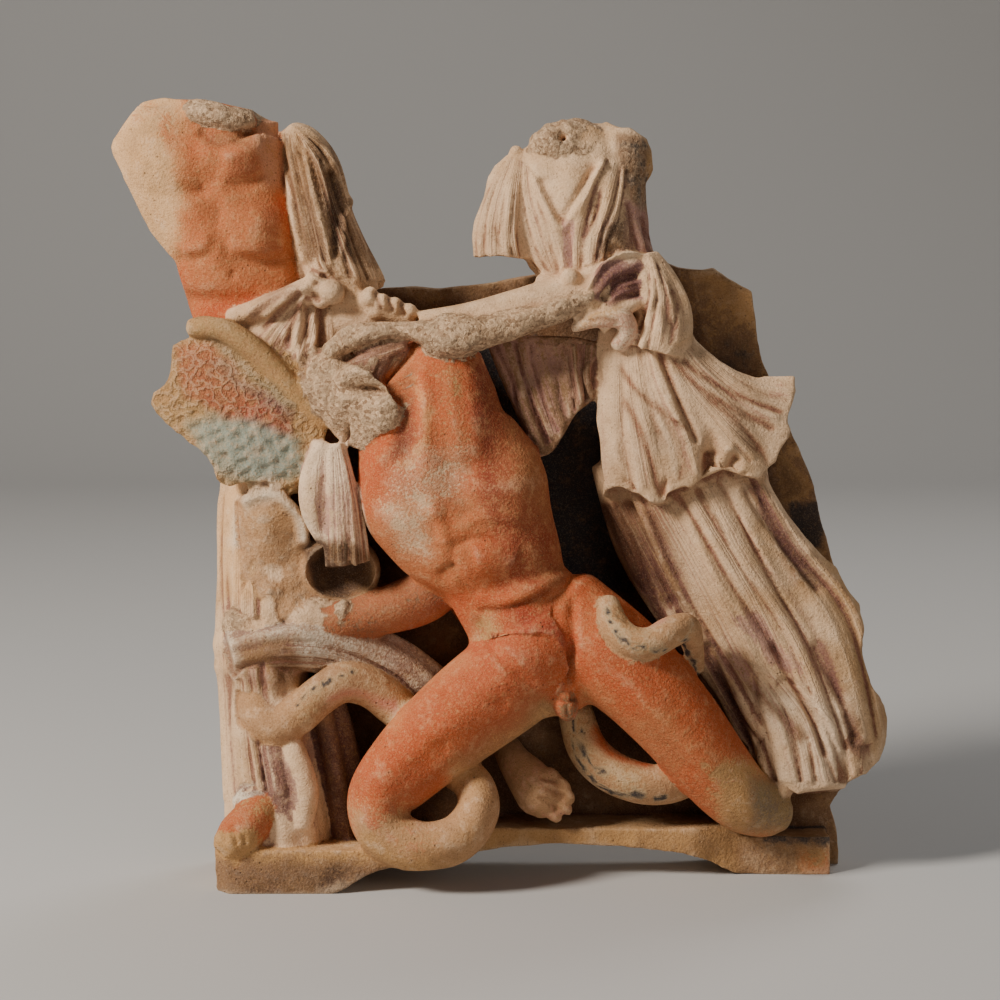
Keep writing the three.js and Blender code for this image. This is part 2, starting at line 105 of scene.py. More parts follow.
def between(stations, t):
    """Points at shares t of the way along a list of stations, on a Catmull-Rom curve through them."""
    s = np.asarray(stations, float)
    last = len(s) - 1
    i = np.minimum(last - 1, np.floor(np.clip(t, 0, 1) * last).astype(int))
    f = (np.clip(t, 0, 1) * last - i).reshape(np.shape(t) + (1,) * (s.ndim - 1))
    a, b, c, d = s[np.maximum(i - 1, 0)], s[i], s[i + 1], s[np.minimum(i + 2, last)]
    return 0.5 * (2 * b + (c - a) * f + (2 * a - 5 * b + 4 * c - d) * f**2 + (3 * b - a - 3 * c + d) * f**3)


def smooth(x, low, high):
    """0 below low, 1 above high, and an S curve between them."""
    f = np.clip((x - low) / (high - low), 0, 1)
    return f * f * (3 - 2 * f)


def underside(x):
    """Height of the plinth's underside at X: a shallow arch between its two feet, in metres."""
    share = np.clip((x - SHIFT[0] - ARCH_FROM) / ARCH_SPAN, 0, 1)
    curve = between([[0.0], [0.62], [0.76], [0.85], [0.93], [1.0], [0.95], [0.84], [0.6], [0.0]], share)
    return ARCH_RISE * np.maximum(curve[..., 0], 0)


def unit(v):
    """The same directions with length 1."""
    return v / np.maximum(np.linalg.norm(v, axis=-1, keepdims=True), 1e-9)


shells = []


def press(points):
    """Nothing lies behind the wall face or under the arch."""
    points[..., 1] = np.minimum(points[..., 1], BACK)
    points[..., 2] = np.maximum(points[..., 2], underside(points[..., 0]))
    return points


def keep(name, points, *faces):
    """Puts a finished shell aside. Its faces come as arrays, one for each number of corners."""
    shells.append((name, press(points), faces))


def tube_faces(rings, sides):
    """Quads between rings of points, and a fan of triangles over each end's middle point."""
    i, j = np.meshgrid(np.arange(rings - 1), np.arange(sides), indexing="ij")
    k = (j + 1) % sides
    here, next_ring = i * sides, (i + 1) * sides
    quads = np.stack([here + j, next_ring + j, next_ring + k, here + k], -1).reshape(-1, 4)
    j = np.arange(sides)
    k = (j + 1) % sides
    first, end = rings * sides, rings * sides + 1
    start = np.stack([j, k, np.full(sides, first)], -1)
    stop = np.stack([(rings - 1) * sides + k, (rings - 1) * sides + j, np.full(sides, end)], -1)
    return quads, np.concatenate([start, stop])


print("underside at the middle, mm:", np.round(underside(np.array([0.0])) * 1000, 1))

# %% [markdown]
# ## Forms and cloths
# A sculptor rolls a limb out of clay and bends it into place. Here a round or oval section is carried along
# a curve instead, which gives an even grid of points and one closed skin. A cloth is such a form with folds
# on its front and a hem that hangs unevenly. Boxes or points moved by hand would not stay smooth.

# %% A form carried along a path
FRONT_FROM, FRONT_SPAN, STEP = -0.03, 0.56, 3.0


def form(name, stations, swell=None, round=(0.6, 0.6), twist=0.0, hem=None):
    """Sections (width cos turn, depth sin turn) along a curve of (across, down, out, half width, half depth).
    Four values make a round tube whose sections turn with the path. swell(t, v) raises the skin by squares,
    and hem(t, v) pushes it along; v goes once round, from the right side over the front."""
    s = np.asarray(stations, float)
    tube = s.shape[1] == 4
    if tube:
        s = np.concatenate([s, s[:, 3:4]], 1)
    length = np.linalg.norm(np.diff(s[:, :3], axis=0), axis=1).sum()
    count = max(6, int(length / STEP))
    bends = np.radians(np.linspace(12, 78, 6))
    t = np.concatenate([np.zeros(6) if round[0] else [], np.linspace(0, 1, count),
                        np.ones(6) if round[1] else []])
    start, stop = np.sin(bends), np.sin(bends[::-1])
    girth = np.concatenate([start if round[0] else [], np.ones(count), stop if round[1] else []])
    reach = np.concatenate([-np.cos(bends) * round[0] if round[0] else [], np.zeros(count),
                            np.cos(bends[::-1]) * round[1] if round[1] else []])
    at = between(s, t)
    along = unit(between(s[:, :3], np.minimum(1, t + 0.02)) - between(s[:, :3], np.maximum(0, t - 0.02)))
    side = unit(np.stack([along[:, 1], -along[:, 0], np.zeros(len(t))], -1))
    if tube:
        for k in range(1, len(t)):
            side[k] = unit(side[k - 1] - along[k] * (side[k - 1] @ along[k]))
        front = unit(np.cross(along, side))
    else:
        front = unit(np.array([0, 0, 1.0]) - along * along[:, 2:3])
    around = max(14, int(2 * math.pi * np.sqrt((s[:, 3].max() ** 2 + s[:, 4].max() ** 2) / 2) / STEP))
    v = np.arange(around) / around
    T, V = np.meshgrid(t, v, indexing="ij")
    turn = 2 * np.pi * (V + twist * T)
    lift = (swell(T, V) if swell else 0) * girth[:, None]
    push = (reach * np.minimum(at[:, 3], at[:, 4]))[:, None] + (hem(T, V) if hem else 0)
    grid = (at[:, None, :3] + along[:, None] * push[..., None]
            + side[:, None] * ((at[:, 3] * girth)[:, None] * np.cos(turn) + lift * np.cos(turn))[..., None]
            + front[:, None] * ((at[:, 4] * girth)[:, None] * np.sin(turn) + lift * np.sin(turn))[..., None])
    points = np.concatenate([grid.reshape(-1, 3), grid[0].mean(0)[None], grid[-1].mean(0)[None]])
    keep(name, on_sheet(points), *tube_faces(len(t), around))


def front_share(v):
    """How far across the front of a cloth a place is, from 0 at one side to 1 at the other."""
    return np.where(v > 0.9, v - 1 - FRONT_FROM, v - FRONT_FROM) / FRONT_SPAN


def folds(count, rise, sharp=1.0):
    """Ridges along the front of a cloth: 2 |sin|^sharp - 1, count of them, rising from rise[0] to rise[1]."""
    def swell(t, v):
        share = front_share(v)
        height = rise[0] + (rise[1] - rise[0]) * t
        wave = 2 * np.abs(np.sin(np.pi * count * share)) ** sharp - 1
        return np.where((share > 1) | (share < 0), 0, height * wave)
    return swell


def cloth(name, stations, count, rise, drop=0.0, round=(0, 0), twist=0.0, sharp=1.0):
    """A pleated cloth: a form with folds on its front, whose hem hangs lower at every other fold."""
    def hem(t, v):
        share = front_share(v)
        return np.where((t < 1) | (share > 1) | (share < 0), 0, drop * np.sin(np.pi * count * share))
    form(name, stations, swell=folds(count, rise, sharp), hem=hem, round=round, twist=twist)


def mounds(list_of):
    """Soft swellings: height exp(-((t - at) / long)^2 - (round the section / wide)^2), added up."""
    def swell(t, v):
        total = np.zeros_like(t)
        for at, turn, long, wide, height in list_of:
            apart = np.abs(v - turn)
            total += height * np.exp(-(((t - at) / long) ** 2) - (np.minimum(apart, 1 - apart) / wide) ** 2)
        return total
    return swell


def lump(name, centre, half, lean=0.0):
    """A ball (cos b cos a, cos b sin a, sin b), stretched to half sizes and leaning by some degrees."""
    b = np.radians(np.linspace(-88, 88, 30))
    a = np.arange(48) / 48 * 2 * np.pi
    B, A = np.meshgrid(b, a, indexing="ij")
    x, y, z = np.cos(B) * np.cos(A) * half[0], np.cos(B) * np.sin(A) * half[1], np.sin(B) * half[2]
    c, s = math.cos(math.radians(lean)), math.sin(math.radians(lean))
    grid = np.stack([x * c - y * s, x * s + y * c, z], -1) + np.array(centre, float)
    points = np.concatenate([grid.reshape(-1, 3), grid[0].mean(0)[None], grid[-1].mean(0)[None]])
    keep(name, on_sheet(points), *tube_faces(30, 48))


# %% [markdown]
# ## Sheets and slabs
# The overfold, the cuff and the flying cloak were rolled flat and laid over the figures. A grid of a few
# places with smooth curves both ways gives that sheet, and thickness behind it closes it. The background is
# only an outline with a thickness, as if cut out of a slab with a wire.

# %% A sheet of clay laid over the figures
def patch(name, rows, thick, pleats=None, across=None, down=None):
    """A curved sheet through a grid of places (Catmull-Rom both ways), thick squares deep, closed all
    round. pleats(u, t) lifts its face, where u runs across the rows and t down them."""
    rows = np.asarray(rows, float)
    wide = np.linalg.norm(np.diff(rows, axis=1), axis=2).sum(1).max()
    tall = np.linalg.norm(np.diff(rows, axis=0), axis=2).sum(0).max()
    u, t = np.linspace(0, 1, across or int(wide / 2.2)), np.linspace(0, 1, down or int(tall / 2.2))
    by_t = between(rows, t)
    face = np.moveaxis(between(np.moveaxis(by_t, 1, 0), u), 0, 1)
    U, T = np.meshgrid(u, t)
    if pleats:
        face[..., 2] += pleats(U, T)
    n, m = face.shape[:2]
    behind = face - np.array([0, 0, 1.0]) * thick
    points = np.concatenate([face.reshape(-1, 3), behind.reshape(-1, 3)])
    i, j = np.meshgrid(np.arange(n - 1), np.arange(m - 1), indexing="ij")
    a = (i * m + j).reshape(-1)
    front = np.stack([a, a + m, a + m + 1, a + 1], -1)
    back = np.stack([a, a + 1, a + m + 1, a + m], -1) + n * m
    rim = np.concatenate([np.arange(m), np.arange(1, n) * m + m - 1, (n - 1) * m + np.arange(m - 2, -1, -1),
                          np.arange(n - 2, 0, -1) * m])
    after = np.roll(rim, -1)
    wall = np.stack([rim, after, after + n * m, rim + n * m], -1)
    keep(name, on_sheet(points), np.concatenate([front, back, wall]))


def slab(name, outline, thick):
    """A flat outline set against the wall, thick squares deep."""
    flat = np.array([[x, y, thick] for x, y in outline], float)
    front = on_sheet(flat)
    behind = front.copy()
    behind[:, 1] = BACK
    n = len(flat)
    i = np.arange(n)
    after = (i + 1) % n
    keep(name, np.concatenate([front, behind]), np.stack([i, 2 * n - 1 - i]),
         np.stack([i, i + n, after + n, after], -1))


print("tools for forms, folds, lumps, sheets and slabs are ready")

# %% [markdown]
# ## Background and plinth
# Behind the figures stands a thin slab with a broken edge, and under them a plinth, deep below the left
# god's foot and shallow at the right, with an arch cut out of its underside.

# %% Background and plinth
slab("background", [(226, 880), (224, 700), (226, 560), (232, 470), (240, 400), (264, 338), (310, 302),
    (386, 287), (440, 289), (530, 277), (600, 264), (664, 262), (680, 268), (704, 270), (714, 268),
    (731, 279), (752, 291), (757, 330), (762, 360), (776, 396), (793, 436), (805, 462), (814, 485),
    (822, 525), (830, 556), (846, 600), (850, 680), (852, 770), (830, 806), (838, 836), (838, 880)], 25)


def plinth():
    """Rectangles from the wall outwards, with depth and height read off along X, joined into one bar."""
    x = np.arange(-180, 215.1, 2.0)
    deep = np.interp(x, [-180, -172, -63, 0, 125, 155, 215], [81, 89, 89, 54, 54, 43, 42])
    tall = np.interp(x, [-180, -32, -28, 150, 157, 215], [28, 28, 34, 33, 25, 25])
    s = np.linspace(0, 1, 25)[:-1]
    y = np.concatenate([-s, -np.ones(24), s - 1, np.zeros(24)])
    z = np.concatenate([np.zeros(24), s, np.ones(24), 1 - s])
    wide = np.broadcast_to(x[:, None], (len(x), 96))
    grid = np.stack([wide, y * deep[:, None], z * tall[:, None]], -1) / 1000 + SHIFT
    ends = np.stack([grid[0].mean(0), grid[-1].mean(0)])
    keep("plinth", np.concatenate([grid.reshape(-1, 3), ends]), *tube_faces(len(x), 96))


plinth()

# %% [markdown]
# ## The left god
# A bare torso leans back out of a cloak that is knotted at the waist and falls to the foot. The head is gone,
# and the knee has broken off, which shows the clay inside. Each part is one form or cloth, so that it can be
# moved alone. The knot and the toes are small balls pressed together.

# %% The left god
form("god", [[200, 98, 70, 60, 26], [201, 114, 72, 76, 32], [197, 140, 74, 92, 37], [203, 166, 75, 87, 40],
    [213, 200, 76, 78, 41], [229, 236, 76, 68, 39], [238, 264, 74, 66, 34], [246, 290, 72, 61, 33],
    [252, 335, 72, 58, 34]], swell=mounds([[0.3, 0.17, 0.12, 0.07, 8], [0.3, 0.34, 0.12, 0.07, 8],
    [0.42, 0.255, 0.2, 0.025, -5], [0.55, 0.25, 0.06, 0.12, -4], [0.66, 0.2, 0.1, 0.05, 4],
    [0.66, 0.31, 0.1, 0.05, 4]]), round=(0.15, 0))
lump("god_neck", [219, 116, 90], [41, 17, 30], 9)
cloth("god_cloak", [
    [291, 130, 80, 10, 24], [302, 144, 82, 20, 34], [314, 172, 84, 27, 42], [320, 215, 82, 31, 44],
    [334, 262, 80, 36, 42], [348, 300, 78, 38, 38]], 6, [1, 2], round=(0.4, 0))
for place, size in [([316, 279, 122], [11, 10, 12]), ([331, 292, 126], [14, 13, 13]),
                    ([310, 293, 118], [9, 13, 10]), ([321, 301, 120], [9, 8, 9])]:
    lump("god_knot", place, size, 20)
form("god_sash", [[232, 318, 104, 9, 14], [270, 306, 110, 12, 16], [318, 284, 116, 12, 14]])
cloth("god_hip", [
    [284, 300, 80, 58, 32], [290, 330, 80, 64, 40], [292, 372, 78, 64, 42], [285, 412, 72, 62, 40],
    [275, 455, 66, 56, 38]], 6, [1, 2], twist=0.03)
form("god_lap", [[340, 312, 92, 26, 24], [372, 322, 96, 24, 24], [402, 330, 96, 20, 20]])
form("god_hand", [[352, 300, 110, 10, 11], [378, 308, 114, 12, 12], [410, 320, 114, 9, 10]])
for place, size in [([369, 297, 124], [9, 11, 10]), ([382, 302, 126], [8, 9, 9]),
                    ([395, 305, 124], [9, 8, 9]), ([409, 311, 122], [9, 8, 9]),
                    ([374, 312, 120], [10, 7, 9])]:
    lump("god_hand", place, size, 25)
cloth("god_leg_cloth", [[264, 436, 62, 41, 42], [260, 520, 62, 40, 46], [263, 580, 66, 44, 48],
    [265, 630, 70, 48, 52], [265, 690, 72, 42, 54], [269, 750, 74, 43, 56], [276, 815, 76, 50, 56],
    [280, 846, 76, 50, 56]], 6, [1, 2], twist=0.03)
patch("broken_knee", [
    [(238, 502, 108), (258, 488, 118), (284, 492, 122), (302, 512, 116)],
    [(240, 536, 112), (262, 530, 120), (288, 536, 120), (312, 552, 108)],
    [(244, 578, 112), (266, 572, 116), (290, 580, 114), (314, 596, 106)],
    [(242, 622, 114), (270, 620, 120), (298, 616, 120), (326, 610, 110)]], 44)
lump("hollow_limb", [335, 568, 88], [46, 38, 36], 10)
cloth("god_stretched_cloth", [[230, 654, 108, 20, 24], [288, 642, 102, 26, 28], [340, 648, 84, 30, 30],
    [392, 668, 66, 30, 28], [440, 705, 52, 30, 26]], 4, [2, 2])
cloth("god_inner_fold", [[318, 690, 66, 22, 34], [334, 765, 66, 24, 34], [346, 842, 66, 26, 34]], 3, [4, 6])
form("god_hanging_fold", [[292, 748, 120, 13, 15], [304, 790, 124, 15, 15], [302, 826, 122, 10, 12]])
form("god_ankle_ring", [[240, 803, 112, 9, 10], [254, 793, 122, 11, 10], [274, 797, 116, 9, 10]])
form("god_foot", [[268, 800, 112, 17], [254, 818, 124, 21], [238, 836, 132, 22], [228, 845, 138, 17]])
for place in [[220, 843, 136], [228, 851, 138], [238, 854, 136], [248, 853, 132]]:
    lump("god_foot", place, [6.5, 8, 8], 15)
print("left god:", len(shells), "forms so far")

# %% [markdown]
# ## The giant
# The giant falls to the left, with the back arched and the thighs spread, and each thigh runs out into a
# snake. One long tube therefore makes a thigh, its coil and its tail together. The neck and the raised arm
# are broken off.

# %% The giant
form("giant", [[447, 346, 110, 34, 30], [441, 380, 112, 55, 38], [437, 422, 114, 74, 43],
    [449, 476, 118, 91, 46], [472, 520, 120, 87, 46], [497, 560, 118, 67, 42], [511, 592, 114, 59, 39],
    [528, 622, 112, 62, 41], [541, 655, 112, 66, 43], [551, 690, 108, 52, 38], [556, 712, 104, 30, 28]],
    swell=mounds([[0.2, 0.17, 0.08, 0.07, 6], [0.27, 0.36, 0.1, 0.09, 12], [0.33, 0.25, 0.1, 0.03, -5],
    [0.42, 0.15, 0.08, 0.07, 7], [0.46, 0.35, 0.07, 0.08, 5], [0.53, 0.26, 0.05, 0.07, -6],
    [0.62, 0.2, 0.05, 0.09, 6], [0.7, 0.25, 0.04, 0.16, -4]]), round=(0, 0))
form("giant_backing", [[452, 380, 46, 30, 44], [455, 500, 50, 62, 46], [500, 600, 50, 46, 46],
                       [548, 670, 48, 46, 42]], round=(0, 0))
form("arm_stump", [[392, 392, 100, 50], [370, 403, 128, 47], [362, 409, 148, 42]], round=(0, 0.2))
lump("arm_stump", [332, 384, 122], [32, 40, 26], -12)
form("scarf_knot", [[352, 366, 130, 9, 10], [376, 356, 134, 12, 12], [402, 345, 132, 9, 10]])
lump("giant_neck", [452, 338, 136], [32, 24, 26])
form("giant_left_leg", [
    [546, 655, 108, 50], [496, 690, 116, 51], [449, 727, 126, 47], [409, 763, 134, 41], [381, 799, 138, 34],
    [387, 832, 142, 29], [420, 847, 146, 26], [456, 839, 146, 24], [477, 813, 138, 22], [474, 786, 124, 20],
    [450, 765, 104, 19], [424, 738, 90, 19], [400, 712, 92, 20]])
form("snake_left", [
    [424, 738, 90, 19], [400, 712, 92, 20], [372, 689, 102, 20], [343, 683, 112, 20], [318, 697, 118, 20],
    [297, 716, 122, 20], [275, 727, 122, 20], [257, 713, 116, 18], [253, 690, 106, 15]])
form("giant_right_leg", [
    [566, 612, 104, 46], [612, 655, 112, 50], [646, 687, 114, 47], [680, 725, 110, 43], [711, 765, 102, 39],
    [740, 797, 92, 34], [764, 810, 82, 28], [780, 812, 76, 20]])
form("snake_over_thigh", [
    [608, 604, 138, 12], [613, 623, 152, 15], [628, 640, 160, 16], [650, 643, 160, 16], [671, 632, 154, 16],
    [687, 628, 142, 14], [693, 646, 118, 11], [697, 668, 96, 8]])
form("snake_behind_thigh", [
    [570, 688, 68, 15], [577, 718, 80, 18], [587, 748, 86, 20], [607, 769, 90, 21], [637, 782, 92, 21],
    [668, 784, 88, 20], [702, 772, 70, 18]], round=(0, 0))
lump("giant_sex", [566, 705, 138], [12, 17, 14], -15)
form("giant_arm", [[452, 570, 88, 28], [424, 596, 92, 27], [388, 610, 98, 24], [352, 619, 102, 20],
                   [322, 622, 106, 17]], round=(0, 0))
lump("broken_hand", [304, 618, 104], [36, 21, 18], -8)
lump("broken_hand", [262, 628, 102], [40, 24, 20], 8)
lump("broken_hand", [342, 612, 116], [8, 13, 8], 15)
print("giant:", len(shells), "forms so far")

# %% [markdown]
# ## Wing and scarf
# The wing is thin and flat with a thick rolled edge in front, and a scarf hangs from it. A flattened form
# along the wing's length gives the even slope that the feathers are drawn on later.

# %% The wing, the scarf and the flying cloak
form("wing", [
    [322, 442, 110, 52, 14], [286, 432, 116, 66, 14], [250, 416, 118, 74, 14], [214, 398, 116, 68, 13],
    [182, 392, 112, 54, 11], [156, 392, 108, 36, 9]], round=(0, 0.6))
form("wing_edge", [[322, 424, 118, 9], [290, 386, 124, 11], [256, 351, 126, 12], [222, 329, 124, 12],
                   [192, 327, 118, 10]])
cloth("scarf", [[334, 444, 130, 11, 13], [338, 480, 132, 16, 15], [343, 520, 130, 20, 15],
                [348, 564, 126, 21, 14]], 4, [1, 3])
form("scarf_end", [[322, 446, 130, 10, 12], [314, 482, 132, 15, 12], [314, 512, 130, 13, 12],
    [322, 540, 124, 6, 8]])

# %% [markdown]
# ## The right god
# A goddess strides forward in a thin dress with a short overfold. The dress is a cloth from the belt down,
# and the overfold is a sheet that stands off it and flares to the right. The arm reaches across the others
# and has broken along its lower side.

# %% The right god
cloth("bodice", [
    [566, 138, 78, 34, 24], [570, 152, 82, 60, 34], [573, 190, 86, 72, 40], [585, 235, 86, 64, 39],
    [598, 270, 84, 57, 36], [606, 300, 82, 58, 36]], 7, [1, 2], round=(0.4, 0))
cloth("sleeve", [[518, 158, 82, 18, 24], [511, 190, 84, 27, 33], [505, 226, 84, 33, 36],
    [504, 257, 82, 34, 36]], 3, [1, 2], round=(0.6, 0))
lump("goddess_neck", [567, 145, 98], [41, 27, 24], -4)
lump("goddess_shoulder", [621, 156, 80], [34, 38, 32], -10)
lump("shoulder_button", [516, 152, 100], [7, 7, 7])
form("belt", [[540, 281, 108, 7, 8], [572, 282, 120, 8, 8], [604, 266, 118, 7, 8]])
lump("belt_knot", [570, 277, 128], [10, 9, 9])
form("goddess_arm", [[622, 282, 100, 22], [575, 292, 112, 21], [520, 306, 120, 18], [470, 318, 122, 16],
                     [420, 324, 120, 13]], round=(0, 0))
form("broken_arm", [
    [330, 352, 134, 9, 12], [360, 336, 138, 13, 14], [410, 331, 138, 10, 14], [452, 338, 142, 20, 18],
    [500, 328, 140, 15, 16], [552, 312, 134, 13, 16], [604, 292, 122, 9, 12]])
patch("cuff", [[(572, 327, 132), (586, 290, 138), (604, 262, 134), (630, 251, 124), (650, 258, 112)],
    [(584, 327, 132), (599, 300, 136), (616, 279, 132), (636, 269, 124), (652, 275, 114)],
    [(596, 326, 132), (610, 309, 134), (625, 297, 130), (640, 289, 124), (654, 293, 114)],
    [(604, 334, 128), (617, 323, 130), (632, 313, 126), (645, 307, 120), (657, 309, 110)]], 30,
    pleats=lambda u, t: 4.5 * (2 * np.abs(np.sin(np.pi * (0.5 + 3.5 * t))) ** 0.8 - 1) * (0.3 + 0.7 * u))
form("cuff_tip", [[574, 328, 128, 5, 7], [596, 320, 132, 8, 9], [620, 318, 130, 11, 11],
    [628, 330, 124, 10, 11], [618, 345, 116, 9, 9]])
cloth("falling_folds", [[642, 258, 96, 16, 22], [654, 285, 100, 24, 28], [664, 318, 100, 28, 30],
                        [656, 350, 98, 34, 32]], 4, [1, 2])


def pleat_rows(count, rise, sharp=0.8, lean=0.0):
    """Pleats on a sheet: rise(t) (2 |sin(pi count (u + lean t))|^sharp - 1), deeper towards the hem."""
    def lift(u, t):
        wave = 2 * np.abs(np.sin(np.pi * count * (u + lean * t))) ** sharp - 1
        return (rise[0] + (rise[1] - rise[0]) * t) * wave
    return lift


patch("overfold", [[(598, 330, 96), (610, 328, 104), (622, 327, 110), (634, 327, 112), (646, 327, 112),
    (658, 327, 112), (670, 327, 110), (682, 327, 104), (692, 328, 92)], [(597, 380, 100), (611, 384, 110),
    (630, 384, 116), (645, 385, 120), (664, 378, 120), (684, 370, 118), (698, 362, 112), (706, 354, 104),
    (714, 350, 92)], [(592, 432, 102), (608, 442, 112), (634, 440, 122), (652, 445, 126), (680, 432, 124),
    (712, 422, 120), (734, 412, 114), (750, 394, 106), (752, 374, 92)], [(603, 497, 102), (612, 488, 114),
    (640, 495, 124), (658, 504, 128), (691, 489, 126), (736, 476, 120), (764, 475, 112), (790, 433, 104),
    (795, 376, 92)]], 34, pleats=pleat_rows(5, [0.6, 2.4]))
cloth("skirt", [
    [655, 436, 62, 70, 40], [692, 510, 64, 86, 44], [730, 566, 62, 90, 46], [785, 645, 56, 88, 44],
    [810, 712, 54, 80, 42], [824, 758, 52, 66, 40], [828, 790, 52, 60, 40]], 8, [1, 2.5], twist=0.02)
cloth("hem_folds", [[768, 672, 70, 26, 28], [798, 728, 72, 42, 30], [812, 790, 70, 50, 30]], 4, [1, 3],
      round=(0.6, 0))
form("goddess_foot", [[496, 735, 24, 16], [512, 762, 64, 19], [527, 779, 80, 23], [540, 795, 90, 24],
                      [548, 804, 92, 18]])
for place in [[553, 775, 92], [562, 784, 96], [567, 795, 98], [564, 807, 98], [553, 815, 96]]:
    lump("goddess_foot", place, [11, 6, 8], 38)
patch("flying_cloak", [[(486, 342, 94), (505, 338, 96), (530, 336, 98), (556, 336, 98), (580, 338, 96),
    (604, 344, 92)], [(499, 375, 98), (520, 379, 102), (545, 377, 104), (566, 369, 104), (584, 360, 100),
    (601, 356, 94)], [(515, 412, 100), (532, 417, 106), (554, 409, 108), (571, 396, 108), (586, 381, 102),
    (598, 368, 94)], [(535, 458, 100), (551, 453, 106), (563, 436, 110), (576, 414, 108), (591, 401, 104),
    (598, 380, 94)]], 10, pleats=pleat_rows(4, [2.0, 6.0]))
print("all forms:", len(shells))

# %% [markdown]
# ## One body of clay
# The forms overlap as rolls of clay do before the fingers close them. A voxel remesh takes all of them as
# one closed body and lays an even skin over it. Each point of that skin then needs to know which form it
# lies on, because a tool mark on the giant's chest must not cut the cloak behind it. A small geometry node
# tree looks that up on the forms' own surfaces.

# %% Fuse the forms
SKIN_STEP = 0.0013


def mesh_of(name, points, faces):
    mesh = bpy.data.meshes.new(name)
    mesh.from_pydata(points.tolist(), [], faces)
    mesh.update()
    return mesh


names, points, faces, owner, start = [], [], [], [], 0
for number, (name, own_points, own_faces) in enumerate(shells):
    names.append(name)
    points.append(own_points)
    for group in own_faces:
        faces += (group + start).tolist()
        owner += [number] * len(group)
    start += len(own_points)
forms_mesh = mesh_of("forms", np.concatenate(points), faces)
forms_mesh.attributes.new("form", "FLOAT", "FACE").data.foreach_set("value", np.array(owner, np.float32))
forms = bpy.data.objects.new("forms", forms_mesh)
bpy.context.scene.collection.objects.link(forms)


def evaluated(thing):
    """A plain mesh of an object with its modifiers worked out."""
    bpy.context.view_layer.update()
    seen = thing.evaluated_get(bpy.context.evaluated_depsgraph_get())
    return bpy.data.meshes.new_from_object(seen)


fuse = forms.modifiers.new("fuse", "REMESH")
fuse.mode = "VOXEL"
fuse.voxel_size = SKIN_STEP
skin = evaluated(forms)
forms.modifiers.remove(fuse)
print("skin:", len(skin.vertices), "points from", len(forms_mesh.vertices))


# %% [markdown]
# ## Names for the skin
# The fused skin has no parts any more. A nearest-surface search gives each point back the number of its form.
# Nodes do this for half a million points at once.

# %% Which form does each point lie on?
def form_lookup():
    """Nodes that store, on every point, the form number of the nearest place on the forms' surfaces."""
    tree = bpy.data.node_groups.new("form_lookup", "GeometryNodeTree")
    tree.interface.new_socket("Geometry", in_out="INPUT", socket_type="NodeSocketGeometry")
    tree.interface.new_socket("Geometry", in_out="OUTPUT", socket_type="NodeSocketGeometry")
    add = tree.nodes.new
    enter, leave, source = add("NodeGroupInput"), add("NodeGroupOutput"), add("GeometryNodeObjectInfo")
    source.inputs["Object"].default_value = forms
    near, number, store = add("GeometryNodeSampleNearestSurface"), add("GeometryNodeInputNamedAttribute"), \
        add("GeometryNodeStoreNamedAttribute")
    number.inputs["Name"].default_value = "form"
    store.inputs["Name"].default_value = "form"
    for a, b in [(source.outputs["Geometry"], near.inputs["Mesh"]),
                 (number.outputs["Attribute"], near.inputs["Value"]),
                 (near.outputs["Value"], store.inputs["Value"]),
                 (enter.outputs[0], store.inputs["Geometry"]),
                 (store.outputs["Geometry"], leave.inputs[0])]:
        tree.links.new(a, b)
    return tree


lookup = form_lookup()


def coordinates(mesh):
    co = np.empty(len(mesh.vertices) * 3, np.float32)
    mesh.vertices.foreach_get("co", co)
    return co.reshape(-1, 3).astype(float)


def normals(mesh):
    no = np.empty(len(mesh.vertices) * 3, np.float32)
    mesh.vertex_normals.foreach_get("vector", no)
    return no.reshape(-1, 3).astype(float)


def owners(mesh):
    """Form numbers of a mesh's points."""
    thing = bpy.data.objects.new("asked", mesh)
    bpy.context.scene.collection.objects.link(thing)
    thing.modifiers.new("lookup", "NODES").node_group = lookup
    told = evaluated(thing)
    value = np.empty(len(told.vertices), np.float32)
    told.attributes["form"].data.foreach_get("value", value)
    bpy.data.objects.remove(thing)
    return np.rint(value).astype(int)


owner = owners(skin)
print("points on the giant:", int((owner == names.index("giant")).sum()))

# %% [markdown]
# ## Working the skin
# Fingers soften the joins between flesh forms first, so that a thigh flows into a belly. Then come the
# marks of the modelling tool: ridges and cuts that run along lines drawn on the sheet. Each one only moves
# skin that faces the viewer and belongs to the forms named with it. Last, the broken faces are roughened
# with lumpy noise, because fired clay full of grog breaks like coarse bread.

# %% Neighbours, smoothing and noise
def neighbours(mesh):
    """Both ends of every edge, and how many edges meet at each point."""
    ends = np.empty(len(mesh.edges) * 2, np.int32)
    mesh.edges.foreach_get("vertices", ends)
    one, two = ends.reshape(-1, 2).T
    count = len(mesh.vertices)
    return one, two, np.maximum(np.bincount(one, minlength=count) + np.bincount(two, minlength=count), 1)


one, two, degree = neighbours(skin)
spot = coordinates(skin)
amount = len(spot)


def average(values):
    """Mean of the neighbours' values, for numbers or points."""
    if values.ndim == 1:
        return (np.bincount(one, values[two], amount) + np.bincount(two, values[one], amount)) / degree
    return np.stack([average(values[:, k]) for k in range(values.shape[1])], -1)


def belongs(*wanted):
    """Which points lie on the forms with these names. A name that ends in _ stands for its whole family."""
    families = tuple(word for word in wanted if word.endswith("_"))
    chosen = [n for n, name in enumerate(names) if name in wanted or (families and name.startswith(families))]
    return np.isin(owner, chosen)


